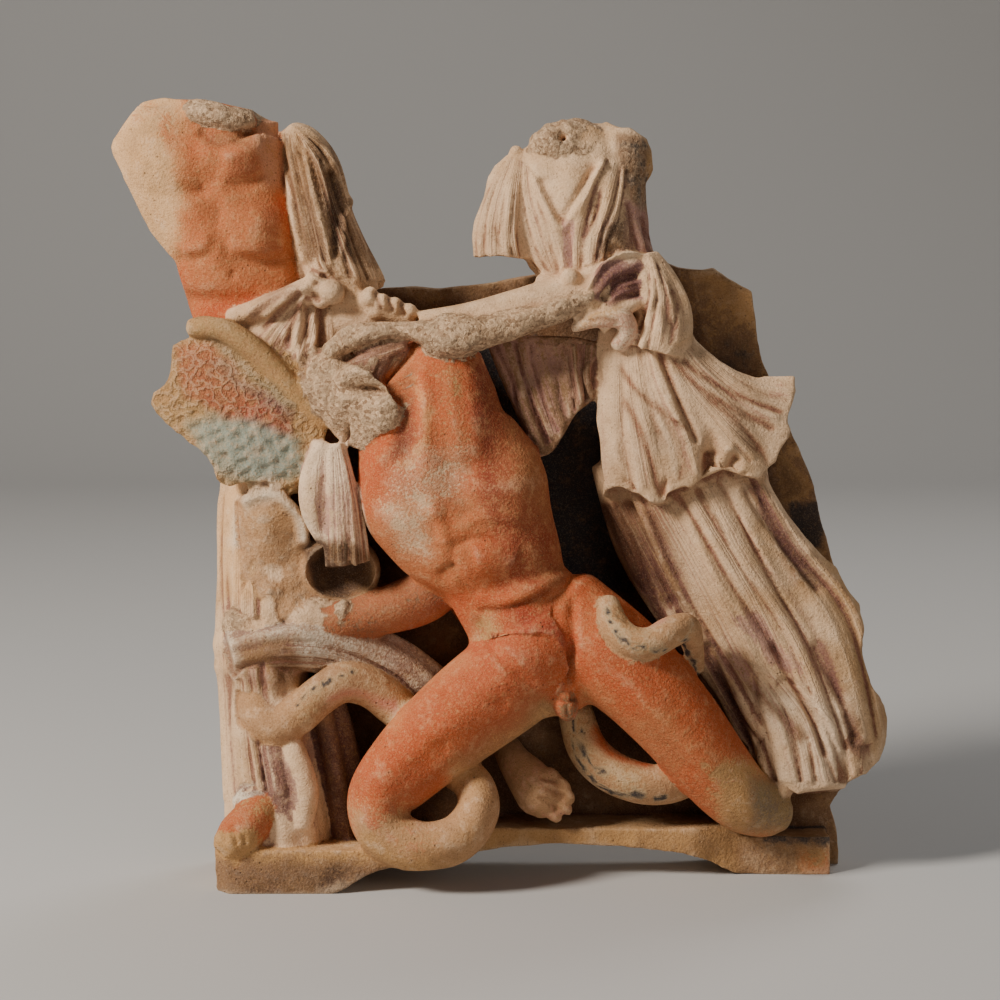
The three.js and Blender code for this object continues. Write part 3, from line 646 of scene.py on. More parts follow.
def soften(where, rounds, spread=7):
    """Evens out the joins between forms: neighbour averaging near points whose neighbours lie elsewhere."""
    global spot
    apart = owner[one] != owner[two]
    joint = np.bincount(one, apart, amount) + np.bincount(two, apart, amount)
    weight = ((joint > 0) & where).astype(float)
    for _ in range(spread):
        weight = np.maximum(weight, average(weight) * 1.6)
    weight = np.clip(weight, 0, 1)[:, None] * where[:, None]
    for _ in range(rounds):
        spot = spot + (average(spot) - spot) * weight


def lumps(p, size, seed, octaves=3):
    """Lumpy noise from -1 to 1: random heights on a lattice of this size, blended smoothly, with octaves of
    half the size and half the height added."""
    total, gain, whole = 0.0, 1.0, 0.0
    for octave in range(octaves):
        q = p / size * 2**octave + seed * 7.31
        cell = np.floor(q).astype(np.int64)
        f = q - cell
        f = f * f * (3 - 2 * f)
        value = 0.0
        for dx in (0, 1):
            for dy in (0, 1):
                for dz in (0, 1):
                    n = ((cell + (dx, dy, dz)) * (73856093, 19349663, 83492791)).T
                    n = n[0] ^ n[1] ^ n[2]
                    n = ((n ^ (seed * 2654435)) & 0x7FFFFFFF) * 1274126177
                    n = ((n ^ (n >> 15)) & 0x7FFFFFFF) * 69069
                    corner = ((n >> 9) & 0xFFFF) / 32767.5 - 1
                    share = (f[:, 0] if dx else 1 - f[:, 0]) * (f[:, 1] if dy else 1 - f[:, 1])
                    value = value + corner * share * (f[:, 2] if dz else 1 - f[:, 2])
        total, whole, gain = total + gain * value, whole + gain, gain / 2
    return total / whole


soften(belongs("giant", "giant_left_leg", "giant_right_leg", "giant_arm", "snake_left"), 30)
soften(belongs("god_leg_cloth", "god_stretched_cloth", "god_inner_fold", "god_hip", "god_sash", "god_lap",
    "god_cloak", "bodice", "sleeve", "goddess_shoulder"), 8, 4)
print("softened", amount, "points")


# %% [markdown]
# ## Lines, outlines and swellings
# Three tools work the skin. One cuts a form back to an outline, as a knife does. One raises soft swellings
# with the thumb. One draws ridges, cuts and steps along lines. All of them are set out on the sheet, because
# there they can be read off and compared.

# %% Tool marks
def near_line(at, line, reach):
    """Points within reach squares of a smooth line: their indices, distances, side and share along it."""
    line = between(np.asarray(line, float), np.linspace(0, 1, 7 * len(line)))
    low, high = line.min(0) - reach, line.max(0) + reach
    found = np.nonzero(((at[:, :2] > low) & (at[:, :2] < high)).all(1))[0]
    p = at[found, None, :2]
    a, step = line[None, :-1], np.diff(line, axis=0)[None]
    share = np.clip(((p - a) * step).sum(2) / (step**2).sum(2), 0, 1)
    gap = p - (a + share[..., None] * step)
    distance = np.sqrt((gap**2).sum(2))
    best = distance.argmin(1)
    pick = (np.arange(len(found)), best)
    step = np.broadcast_to(step, gap.shape)[pick]
    side = np.sign(step[:, 0] * gap[pick][:, 1] - step[:, 1] * gap[pick][:, 0])
    along = (best + share[pick]) / (len(line) - 1)
    inside = distance[pick] < reach
    return found[inside], distance[pick][inside], side[inside], along[inside]


def fan(left, right, count, jitter=0.25):
    """Lines that turn gradually from one line into another, at slightly uneven steps."""
    left, right = np.asarray(left, float), np.asarray(right, float)
    k = np.arange(count)
    f = (k + 0.5 + jitter * np.sin(k * 2.4 + 1)) / count
    return [left + (right - left) * g for g in f]


sheet = read_sheet(spot)
facing = normals(skin) @ np.array([0, -COS, SIN])
front = smooth(facing, 0.0, 0.35)
lift = np.zeros(amount)


def against(p, outline):
    """Places compared with every side of an outline: the nearest place on the side, the distance to it, and
    whether the place is inside, which it is when an odd number of sides lies to its right."""
    line = np.asarray(outline, float)
    a, b = line[None], np.roll(line, -1, 0)[None]
    share = np.clip(((p - a) * (b - a)).sum(2) / ((b - a) ** 2).sum(2), 0, 1)
    on_line = a + share[..., None] * (b - a)
    gap = np.sqrt(((p - on_line) ** 2).sum(2))
    run = (b[..., 0] - a[..., 0]) * (p[..., 1] - a[..., 1]) / (b[..., 1] - a[..., 1] + 1e-9)
    crosses = ((a[..., 1] > p[..., 1]) != (b[..., 1] > p[..., 1])) & (p[..., 0] < run + a[..., 0])
    return on_line, gap, crosses.sum(1) % 2 == 1


def trim(forms_named, outline, ragged=1.0):
    """Cuts forms back to an outline on the sheet: what lies outside goes to the nearest place on it, a
    little unevenly, and is then evened out with its neighbours."""
    global spot, sheet
    mine = np.nonzero(belongs(*forms_named))[0]
    p = sheet[mine, None, :2]
    on_line, gap, within = against(p, outline)
    out = np.nonzero(~within)[0]
    moved = mine[out]
    pick = (out, gap.argmin(1)[out])
    target = on_line[pick]
    inward = unit(target - p[pick[0], 0] + 1e-6)
    sheet[moved, :2] = target + inward * (ragged * (1 + lumps(spot[moved], 0.007, 4, 2)))[:, None]
    spot[moved] = on_sheet(sheet[moved])
    weight = np.zeros(amount)
    weight[moved] = 1
    for _ in range(2):
        weight = np.maximum(weight, average(weight) * 0.9)
    for _ in range(4):
        spot = spot + (average(spot) - spot) * weight[:, None] * 0.5
    sheet = read_sheet(spot)
    print("cut back", len(moved), "points of", forms_named[0])


trim(["god", "god_neck"], [(149, 95), (165, 97), (180, 99), (205, 99), (230, 104), (252, 109), (258, 121),
    (275, 121), (300, 130), (318, 262), (320, 340), (200, 340), (191, 315), (188, 305), (182, 285),
    (175, 262), (158, 242), (150, 232), (137, 206), (120, 170), (113, 155), (111, 147), (113, 140),
    (119, 131), (133, 112), (140, 102)])
trim(["wing", "wing_edge"], [(182, 325), (190, 318), (205, 315), (225, 318), (240, 323), (262, 338),
    (330, 400), (345, 470), (310, 502), (300, 500), (285, 490), (275, 483), (255, 481), (240, 484),
    (220, 488), (212, 466), (205, 455), (195, 447), (178, 434), (165, 422), (155, 413), (150, 403),
    (153, 392), (165, 385), (175, 370), (178, 360), (171, 355), (172, 345), (184, 338)])
trim(["bodice", "sleeve", "goddess_shoulder", "goddess_neck"], [(577, 117), (590, 119), (600, 117),
    (618, 127), (630, 127), (647, 138), (652, 150), (655, 180), (655, 195), (650, 220), (650, 232),
    (662, 256), (680, 330), (540, 330), (537, 277), (528, 267), (520, 259), (498, 256), (473, 258),
    (472, 235), (474, 220), (484, 195), (487, 178), (495, 165), (506, 155), (528, 146), (530, 138),
    (545, 124)])
trim(["skirt", "hem_folds"], [(560, 400), (780, 400), (768, 470), (772, 490), (785, 511), (805, 535),
    (822, 555), (836, 566), (850, 592), (860, 603), (862, 620), (863, 655), (873, 688), (885, 705),
    (888, 720), (886, 745), (880, 760), (866, 775), (852, 774), (846, 788), (835, 792), (800, 796),
    (785, 788), (770, 783), (758, 770), (740, 740), (560, 740)])


trim(["arm_stump"], [(312, 356), (330, 348), (352, 366), (372, 374), (387, 385), (399, 405), (399, 416),
    (389, 438), (376, 451), (360, 457), (345, 456), (325, 446), (318, 427), (304, 410), (302, 392),
    (306, 372)], 1.6)
trim(["overfold"], [(603, 380), (597, 400), (596, 420), (600, 440), (601, 460), (604, 480), (602, 497),
    (612, 488), (622, 486), (630, 492), (640, 494), (650, 502), (657, 506), (665, 502), (669, 492),
    (665, 484), (675, 480), (690, 489), (702, 479), (702, 462), (708, 452), (718, 456), (722, 470),
    (740, 475), (748, 483), (757, 481), (766, 470), (776, 462), (780, 450), (793, 432), (786, 420),
    (794, 400), (797, 372), (780, 371), (758, 378), (735, 370), (720, 362), (706, 350), (694, 338),
    (688, 300), (590, 300)], 0.6)
trim(["goddess_foot"], [(480, 720), (520, 740), (540, 757), (557, 764), (568, 778), (575, 792), (575, 806),
    (571, 815), (556, 824), (535, 822), (519, 807), (510, 790), (500, 770)], 0.3)


def raise_at(forms_named, places):
    """Soft swellings set out on the sheet: height exp(-(x / long)^2 - (y / short)^2), with x and y turned by
    lean degrees round (across, down)."""
    where = belongs(*forms_named)
    for across, down, long, short, lean, height in places:
        reach = 2.2 * max(long, short)
        found = np.nonzero(where & (np.abs(sheet[:, :2] - (across, down)) < reach).all(1))[0]
        dx, dy = sheet[found, 0] - across, sheet[found, 1] - down
        c, n = math.cos(math.radians(lean)), math.sin(math.radians(lean))
        x, y = (dx * c + dy * n) / long, (dy * c - dx * n) / short
        lift[found] += height * np.exp(-(x**2) - y**2) * front[found]


# Cut lines are kept here; the finish later darkens them as painted shade.
cuts = []


def mark(forms_named, lines, half, height, kind="ridge", ends=0.12):
    """Raises skin along lines, by height squares within about half squares. A ridge is exp(-(d/half)^2), a
    cut is exp(-d/half) and so has a sharp bottom, and a step raises one side and fades away from the line."""
    where = belongs(*forms_named)
    if kind == "cut":
        cuts.extend((forms_named, line, half) for line in lines)
    for line in lines:
        found, distance, side, along = near_line(sheet, line, 3.2 * half)
        if kind == "ridge":
            shape = np.exp(-((distance / half) ** 2))
        elif kind == "cut":
            shape = np.exp(-distance / half) - math.exp(-3.2)
        else:
            shape = np.where(side > 0, 1, -1) * np.exp(-distance / half) * smooth(distance, 0, 1.2)
        taper = smooth(along, 0, ends) * smooth(1 - along, 0, ends)
        lift[found] += height * shape * taper * where[found] * front[found]


# %% [markdown]
# ## Pleats
# Folds on the real dress start narrow at the belt and fan out towards the hem. A field between two edge lines
# does the same: its pleats run from edge to edge and spread with it. Separate lines for every fold would
# cross each other.

# %% Pleats that follow the cloth
DRAPERY = [
    (["god_cloak"], [(284, 128), (284, 165), (291, 200), (303, 255), (310, 272)],
     [(306, 132), (338, 160), (355, 210), (372, 250), (386, 284)], 6, 4.6, 6.0),
    (["god_hip", "god_sash", "god_lap"], [(298, 294), (272, 320), (250, 345), (235, 372)],
     [(330, 300), (335, 330), (338, 360), (340, 392)], 6, 2.6, 3.6),
    (["bodice"], [(518, 156), (514, 200), (524, 250), (541, 276)], [(534, 172), (547, 204), (561, 234),
     (567, 270)], 3, 2.2, 3.8),
    (["bodice"], [(604, 156), (583, 196), (571, 232), (571, 270)], [(628, 160), (622, 210), (612, 240),
     (606, 266)], 3, 4.6, 5.6),
    (["bodice"], [(630, 172), (628, 215), (630, 240), (636, 262)], [(656, 180), (652, 225), (658, 250),
     (668, 266)], 2, 2.6, 4.4),
    (["sleeve"], [(508, 154), (486, 190), (475, 230), (473, 260)], [(522, 156), (520, 200), (520, 235),
     (526, 264)], 4, 2.4, 4.6),
    (["falling_folds"], [(645, 260), (646, 295), (636, 335), (628, 364)],
     [(664, 260), (684, 292), (692, 318), (690, 338)], 3, 4.6, 6.4),
    (["overfold"], [(612, 332), (601, 385), (598, 440), (604, 502)], [(650, 343), (668, 395), (690, 430),
     (704, 474)], 4, 0.6, 2.8),
    (["overfold"], [(654, 340), (682, 395), (712, 440), (738, 484)], [(690, 330), (718, 352), (758, 374),
     (804, 378)], 6, 0.8, 2.6),
    (["skirt"], [(592, 500), (640, 600), (698, 700), (755, 780)], [(770, 468), (808, 535), (864, 612),
     (892, 735)], 7, 3.6, 6.0),
    (["skirt"], [(600, 500), (650, 600), (708, 700), (765, 780)], [(700, 490), (760, 590), (800, 680),
     (830, 780)], 7, 0.8, 1.4),
    (["hem_folds", "skirt"], [(700, 640), (733, 700), (757, 780)], [(806, 688), (848, 732), (862, 785)], 5,
     1.5, 6.0),
    (["flying_cloak"], [(487, 341), (500, 375), (515, 412), (535, 460)],
     [(606, 344), (602, 358), (600, 368), (599, 384)], 5, 3.4, 6.4),
    (["god_leg_cloth", "god_hip"], [(217, 488), (215, 600), (217, 700), (219, 800)],
     [(262, 495), (262, 600), (270, 700), (290, 795)], 4, 3.4, 5.6),
    (["god_stretched_cloth", "god_leg_cloth"], [(292, 634), (345, 640), (400, 664), (440, 700)],
     [(262, 668), (330, 672), (380, 700), (410, 735)], 4, 3.0, 3.6),
    (["scarf"], [(330, 446), (328, 500), (327, 566)], [(346, 446), (362, 505), (371, 566)], 4, 2.4, 4.4),
    (["scarf_end"], [(310, 450), (300, 495), (316, 542)], [(331, 450), (331, 495), (327, 538)], 2, 1.4,
     2.0),
    (["scarf_knot"], [(350, 352), (378, 344), (404, 338)], [(352, 376), (380, 368), (406, 356)], 3, 3.0,
     3.0),
]


def pleats_on(at, where, left, right, count, start, end):
    """Where a place lies between two edges of a cloth: s along them, u across, both from 0 to 1. The pleats
    are |sin(pi w)|^0.9 with w = count u, bent by slow waves, so ridges are round, valleys sharp and widths
    uneven. Returned are the places found, their heights, valleys, running numbers and weights."""
    k = np.linspace(0, 1, 41)
    a, b = between(np.asarray(left, float), k), between(np.asarray(right, float), k)
    low, high = np.minimum(a.min(0), b.min(0)), np.maximum(a.max(0), b.max(0))
    found = np.nonzero(where & ((at[:, :2] > low) & (at[:, :2] < high)).all(1))[0]
    p = at[found, None, :2]
    across = b - a
    turn = across[None, :, 0] * (p - a[None])[..., 1] - across[None, :, 1] * (p - a[None])[..., 0]
    change = turn[:, :-1] * turn[:, 1:] <= 0
    hit = change.any(1)
    i = change.argmax(1)
    pick = np.arange(len(found))
    f = turn[pick, i] / (turn[pick, i] - turn[pick, i + 1] + 1e-12)
    s = (i + f) / 40
    origin, span = a[i] + (a[i + 1] - a[i]) * f[:, None], across[i] + (across[i + 1] - across[i]) * f[:, None]
    u = ((p[:, 0] - origin) * span).sum(1) / (span**2).sum(1)
    hit &= (u > 0) & (u < 1)
    found, s, u = found[hit], s[hit], u[hit]
    seed = count + left[0][0] * 0.1
    strand = count * u + 0.28 * np.sin(2.3 * u * count + seed)
    w = strand + 0.16 * np.sin(5 * s + 1.7 * np.floor(count * u) + seed)
    wave = np.abs(np.sin(np.pi * w))
    ridge = wave**0.9
    minor = np.abs(np.sin(np.pi * (2.3 * w + 0.4 * s + seed))) ** 0.8
    strength = 0.65 + 0.35 * np.sin(3.1 * s * math.pi + 2.9 * np.floor(w) + seed)
    fade = smooth(u, 0, 0.05) * smooth(1 - u, 0, 0.05) * smooth(s, 0, 0.06)
    height = (start + (end - start) * s) * strength * fade
    valley = np.clip(height / 4, 0, 1.1) * (1 - wave) ** 1.5
    return found, height * (1.6 * ridge - 1 + 0.22 * minor), valley, strand, fade * smooth(1 - s, 0, 0.05)


for forms_named, left, right, count, start, end in DRAPERY:
    found, height, *_ = pleats_on(sheet, belongs(*forms_named), left, right, count, start, end)
    lift[found] += height * front[found]
print("pleated", len(DRAPERY), "cloths")

# %% [markdown]
# ## Cuts and ridges
# The larger folds, the fingers and the toes were cut with a pointed tool. They are single lines here, for
# each figure in turn.

# %% Marks on the left god
mark(["god"], [[(213, 152), (214, 170), (216, 190)], [(217, 190), (218, 215), (216, 240)]], 6, -1.6,
    ends=0.4)
mark(["god"], [[(176, 182), (194, 192), (211, 186)], [(224, 182), (246, 185), (270, 172)]], 6, -2.8,
    ends=0.3)
mark(["god"], [[(172, 256), (190, 259), (207, 254), (219, 240), (232, 254), (262, 262), (292, 260)]], 7,
    -3.4)
mark(["god"], [[(182, 250), (200, 249), (212, 240)], [(228, 248), (255, 250), (285, 246)]], 8, 3)
mark(["god"], [[(222, 158), (240, 150), (262, 146)]], 9, 3)
mark(["god"], [[(222, 184), (245, 180), (275, 172)], [(150, 190), (175, 196), (205, 186)]], 8, -1.6)
mark(["god"], [[(197, 130), (215, 142), (232, 145), (255, 128)]], 5, -5)
mark(["god"], [[(233, 268), (233, 280)]], 3.5, -3, ends=0.4)
mark(["god"], [[(182, 292), (205, 300), (235, 303), (262, 294)]], 8, -2)
mark(["god_cloak"], [[(303, 134), (310, 175), (320, 210), (328, 250), (330, 268)],
    [(352, 188), (343, 225), (341, 262)], [(287, 168), (292, 200), (300, 245), (306, 264)]], 2.6, 4)
mark(["god_cloak"], [[(330, 165), (336, 210), (334, 262)], [(296, 150), (306, 205), (316, 262)]], 5, -5)
mark(["god_hip", "god_sash", "god_lap", "god_cloak"], [[(312, 284), (285, 300), (262, 317)],
    [(305, 295), (294, 318), (283, 338)], [(302, 300), (297, 335), (302, 366)], [(312, 300), (313, 345)],
    [(300, 288), (270, 300), (243, 316)]], 3.2, 4.5)
mark(["god_hip", "god_sash"], [[(303, 291), (280, 311), (262, 330)], [(302, 300), (290, 330), (288, 350)],
    [(308, 300), (307, 340)], [(320, 306), (322, 350)]], 2, -5, "cut")
mark(["god_knot"], [[(318, 280), (314, 292), (320, 303)], [(310, 268), (322, 275), (336, 272)]], 2.4, -5,
    "cut")

# %% Marks on the goddess
mark(["bodice"], [[(534, 176), (546, 202), (561, 228), (573, 214), (588, 190), (604, 160)]], 3.2, 3.6,
    ends=0.03)
mark(["bodice"], [[(541, 178), (550, 198), (562, 219), (571, 207), (583, 187), (596, 164)]], 3.6, -4,
    ends=0.03)
mark(["bodice"], [[(640, 215), (648, 235), (658, 254)], [(626, 200), (632, 230), (640, 256)]], 2.4, -4,
    "cut")
mark(["overfold"], [[(655, 343), (663, 362), (674, 390), (686, 417), (699, 445)]], 2.2, -8, "cut", 0.06)
mark(["overfold"], [[(617, 362), (638, 392), (664, 414), (692, 432)], [(622, 395), (640, 430), (652, 465),
    (661, 500)], [(664, 345), (700, 374), (742, 398), (788, 414)], [(670, 356), (700, 388), (740, 412),
    (780, 432)], [(700, 392), (735, 420), (762, 452), (768, 468)]], 2.4, -3.4, "cut", 0.2)
mark(["overfold"], [[(650, 345), (658, 366), (668, 392), (678, 417), (690, 444)],
    [(628, 384), (648, 404), (680, 424)], [(735, 446), (722, 452), (720, 466)],
    [(612, 440), (626, 475), (630, 490)]], 4, 3)
mark(["overfold"], [[(712, 448), (714, 470), (716, 490)], [(740, 455), (732, 466), (735, 482)]], 6, -10,
    ends=0.2)
mark(["overfold"], [[(622, 476), (630, 486), (634, 496)], [(668, 476), (664, 488), (664, 500)],
    [(746, 470), (744, 482), (742, 490)]], 3.2, -6, ends=0.3)
mark(["cuff"], fan([(600, 300), (612, 276), (640, 268)], [(606, 306), (625, 298), (642, 296)], 4), 2, -4,
    "cut")
mark(["skirt", "hem_folds"], [[(622, 498), (640, 542), (656, 582), (674, 612)]], 8, -9)
mark(["skirt", "hem_folds"], [[(742, 484), (766, 520), (796, 560), (824, 596)],
    [(705, 640), (730, 700), (752, 755)], [(812, 640), (836, 690), (860, 745)],
    [(770, 640), (800, 690), (828, 760)]], 4.5, -6)
mark(["skirt", "hem_folds"], [[(640, 498), (665, 560), (697, 622), (722, 680)],
    [(755, 482), (782, 520), (815, 556)], [(680, 500), (720, 590), (752, 650), (772, 720)]], 5, 4)
mark(["skirt"], fan([(592, 505), (618, 545), (640, 590)], [(618, 498), (640, 550), (660, 606)], 3), 2, -4,
    "cut")

# %% [markdown]
# ## Muscles
# Breast, ribs, belly and thighs are low rises that run into each other. Soft swellings laid over the plain
# torso give them without a line between them.

# %% Muscles and soft swellings
raise_at(["god"], [(196, 164, 26, 20, 0, 4), (246, 162, 24, 18, 0, 4.5), (220, 160, 8, 22, 0, -2.5),
    (190, 230, 20, 26, 16, 3), (266, 225, 24, 28, -16, 4.5), (222, 222, 14, 34, 0, 2.5),
    (226, 284, 34, 16, 0, 4.5), (232, 300, 40, 10, 0, -2), (150, 160, 26, 60, -25, 2),
    (282, 122, 12, 9, 20, 4), (262, 140, 16, 9, 10, 3)])
raise_at(["giant"], [(430, 424, 42, 36, 20, 7), (488, 410, 20, 50, 0, 4), (462, 410, 7, 60, -6, -2.5),
    (386, 520, 34, 40, 20, 5), (470, 470, 30, 14, 5, -3.5), (432, 508, 12, 9, 30, 5),
    (500, 486, 34, 20, -10, 5), (452, 545, 12, 10, 40, 4), (500, 562, 38, 22, -8, 8),
    (448, 575, 10, 7, -30, -4), (522, 528, 26, 8, 25, -3), (540, 636, 30, 30, 0, 5),
    (498, 640, 18, 30, 10, 2.5), (535, 604, 50, 7, -22, -3), (592, 622, 16, 40, -15, 3),
    (556, 585, 22, 8, -32, 4), (410, 385, 9, 26, -20, -4), (405, 432, 10, 34, -6, -7),
    (424, 410, 7, 40, 0, 3.4), (436, 470, 26, 16, 20, 4), (370, 560, 20, 20, 0, -3)])
raise_at(["giant_left_leg"], [(470, 706, 60, 16, -38, 4), (430, 760, 40, 12, -40, -3),
    (380, 780, 18, 26, 10, 3.5), (404, 812, 14, 10, 0, -3), (372, 822, 16, 14, 0, 2.5),
    (440, 846, 30, 9, 0, 2), (478, 800, 9, 26, 0, 2)])
raise_at(["giant_right_leg"], [(640, 690, 50, 14, 44, 4), (610, 640, 22, 14, 30, 3),
    (700, 760, 40, 12, 46, 3), (680, 760, 60, 6, 46, -2.5), (745, 800, 18, 14, 40, 2.5)])
raise_at(["giant", "giant_left_leg", "giant_right_leg"],
    [(528, 640, 34, 34, 0, 10), (505, 655, 24, 20, 30, 4)])
mark(["broken_knee"], [[(240, 506), (262, 494), (282, 500), (300, 520), (306, 548)]], 5, 7)
raise_at(["broken_knee"], [(262, 520, 12, 22, -10, 5), (285, 570, 16, 14, 0, -4), (268, 590, 12, 12, 0, 4),
    (292, 540, 8, 20, 0, -4)])
raise_at(["god_leg_cloth", "broken_hand"], [(262, 648, 44, 9, 6, 6), (246, 672, 30, 7, 14, 5),
    (280, 666, 20, 8, 20, -5)])
raise_at(["goddess_neck"], [(563, 136, 3.4, 3.4, 0, -14), (545, 140, 12, 8, -20, 3),
    (585, 140, 12, 9, 0, -3)])
raise_at(["arm_stump"], [(369, 392, 20, 5, 8, -14), (346, 438, 2.4, 12, 6, -7), (384, 420, 12, 18, 0, 6),
    (340, 404, 16, 18, 0, 5), (318, 378, 10, 22, 0, -3), (362, 372, 16, 7, 0, 6)])
raise_at(["bodice"], [(548, 240, 16, 22, 10, 4), (600, 232, 20, 26, 10, 5), (562, 200, 18, 26, 0, 3)])
raise_at(["skirt"], [(726, 556, 30, 70, -28, 7), (652, 566, 10, 70, -22, -6), (780, 560, 9, 70, -30, -5),
    (800, 700, 24, 60, -26, 4)])
raise_at(["overfold"], [(640, 440, 26, 40, -8, 4), (735, 420, 30, 26, 20, 4), (712, 460, 9, 26, 0, -10)])
raise_at(["god_leg_cloth"], [(240, 560, 16, 60, 0, 4), (232, 660, 14, 40, 4, 4), (256, 650, 30, 14, 8, 5),
    (240, 740, 12, 50, 0, 4), (266, 620, 20, 26, 0, 4)])

# %% Marks on the giant
mark(["giant"], [[(450, 340), (458, 392), (464, 440), (470, 500)]], 13, 3.6, ends=0.35)
mark(["giant"], [[(490, 340), (492, 420), (492, 510)]], 15, -3, ends=0.35)
mark(["giant"], [[(402, 440), (414, 455), (440, 464), (470, 466), (486, 448)]], 9, -2.2, ends=0.3)
mark(["giant"], [[(352, 470), (380, 490), (420, 500), (455, 512)]], 14, -2, ends=0.35)
mark(["giant"], [[(452, 532), (470, 521), (492, 517), (514, 521), (532, 532)]], 7, 3.4, ends=0.3)
mark(["giant"], [[(453, 550), (466, 541), (484, 538), (508, 543)]], 4, -3.4, ends=0.25)
mark(["giant"], [[(472, 556), (492, 552), (516, 560)]], 14, 4)
mark(["giant"], [[(458, 536), (452, 556), (462, 580), (480, 596)]], 5, -3)
mark(["giant"], [[(430, 510), (440, 522), (444, 545)]], 6, 3)
mark(["giant"], [[(437, 577), (446, 568), (457, 566)]], 3.4, -4, ends=0.3)
mark(["giant"], [[(478, 597), (500, 600), (522, 594), (552, 578), (578, 560)]], 6, 3.2, ends=0.3)
mark(["giant"], [[(474, 608), (500, 609), (524, 603), (555, 588)]], 3, -4.4, "cut", 0.3)
mark(["giant"], [[(574, 590), (572, 625), (568, 660), (570, 690)]], 5, -5, ends=0.3)
mark(["giant"], [[(496, 632), (512, 656), (535, 668), (560, 664)]], 6, -2.4)
mark(["giant"], [[(512, 666), (526, 680), (545, 688), (562, 684)]], 5, 3)
mark(["giant"], fan([(512, 662), (524, 672), (536, 686)], [(564, 660), (560, 674), (552, 690)], 5), 2.6,
    3.2)
mark(["giant_sex"], [[(552, 694), (562, 700), (578, 700)], [(566, 704), (568, 718)]], 1.8, -4, "cut")
mark(["giant_left_leg"], [[(392, 738), (420, 745), (450, 748)], [(440, 690), (470, 700), (510, 705)]], 9,
    -2)
mark(["giant"], [[(540, 700), (520, 712), (500, 720)]], 8, -3)
mark(["snake_over_thigh"], [[(614, 612), (632, 622), (652, 622), (672, 612)]], 2.4, -3)
mark(["god_foot"], [[(230, 826), (235, 836), (238, 846)], [(222, 832), (226, 842)],
    [(243, 834), (246, 846)]], 2, -4)
mark(["goddess_foot"], [[(538, 776), (552, 780), (566, 788)], [(540, 786), (554, 791), (568, 801)],
    [(536, 797), (548, 802), (560, 812)]], 2.2, -4, ends=0.3)
mark(["god_hand"], [[(375, 290), (378, 300), (382, 311)], [(389, 294), (390, 303), (393, 313)],
    [(402, 300), (402, 308), (405, 318)]], 1.8, -5, "cut")
mark(["god_ankle_ring"], [[(243, 792), (256, 788), (272, 792)], [(246, 803), (258, 798), (272, 803)]], 1.8,
    -4, "cut")
mark(["cuff_tip"], [[(586, 322), (604, 318), (620, 324)]], 2, -3, "cut")
mark(["giant", "giant_left_leg"], [[(474, 612), (488, 640), (510, 666), (542, 688)]], 6, -5, ends=0.25)
mark(["giant", "giant_right_leg"], [[(573, 592), (572, 640), (569, 690)]], 5, -6, ends=0.25)
print("marks move the skin by", np.round([lift.min(), lift.max()], 1), "squares")


# %% [markdown]
# ## Feathers
# Small curled feathers cover the upper wing and broad rounded ones hang below. They lie in rows, so a
# repeating scale is bent by slow waves. That keeps the rows and takes away the look of a pattern.

# %% Feathers of the wing
def scales(a, b, high):
    """Rows of overlapping discs: a point within a disc of its row rises towards the disc's rim, and other
    points lie low between two rims. a runs along a row and b across the rows, in feathers."""
    row = np.floor(b)
    y = b - row
    x = 2 * ((a + 0.5 * (row % 2)) % 1 - 0.5)
    reach = np.sqrt(x**2 + y**2)
    return high * np.where(reach < 1, 0.25 + 0.75 * reach, 0.1) - 0.5 * high


def feathers():
    """Short comma feathers in the upper wing and broad round ones below, in rows bent by slow waves."""
    across, down = sheet[:, 0], sheet[:, 1]
    along = (across - 320) * -0.93 + (down - 430) * -0.36
    below = (across - 320) * -0.36 + (down - 430) * 0.93
    along = along + 3 * np.sin(below / 7 + along / 31) + 1.5 * np.sin(along / 5)
    below = below + 6 * np.sin(along / 27) + 1.6 * np.sin(along / 6.1)
    upper = scales((along + 0.5 * below) / 10, below / 7 + 0.2 * np.sin(along / 3), 1.9)
    lower = scales(along / 19, below / 12.5, 3.6)
    return upper + (lower - upper) * smooth(below, 4, 14)


wing = belongs("wing")
lift += np.where(wing, feathers(), 0) * front * smooth(sheet[:, 0], 150, 175)

# %% [markdown]
# ## Breaks
# Where a limb has gone the clay shows its crumb. Lumpy noise roughens only those faces, the edges of the
# slab are worn a little, and the hollow left by the broken limb is pressed in as half a ball.

# %% Broken faces, the hollow, and the hand-worked skin
BREAKS = ("god_neck", "goddess_neck", "giant_neck", "arm_stump", "broken_")
broken = belongs(*BREAKS).astype(float)
for _ in range(3):
    broken = np.maximum(broken, average(broken))
crumb = lumps(spot, 0.017, 3, 4) * 4.6 + lumps(spot, 0.0065, 9, 2) * 1.6
edge_wear = belongs("plinth", "background").astype(float)
lift += broken * crumb * (0.2 + 0.8 * front) + edge_wear * lumps(spot, 0.022, 5, 4) * 3.4
lift += lumps(spot, 0.018, 1, 3) * 0.8 * (1 - broken) * (0.1 + 0.9 * front)
spot = spot + normals(skin) * lift[:, None] * SQUARE

for _ in range(2):
    spot += (average(spot) - spot) * (0.5 - 0.4 * broken)[:, None]

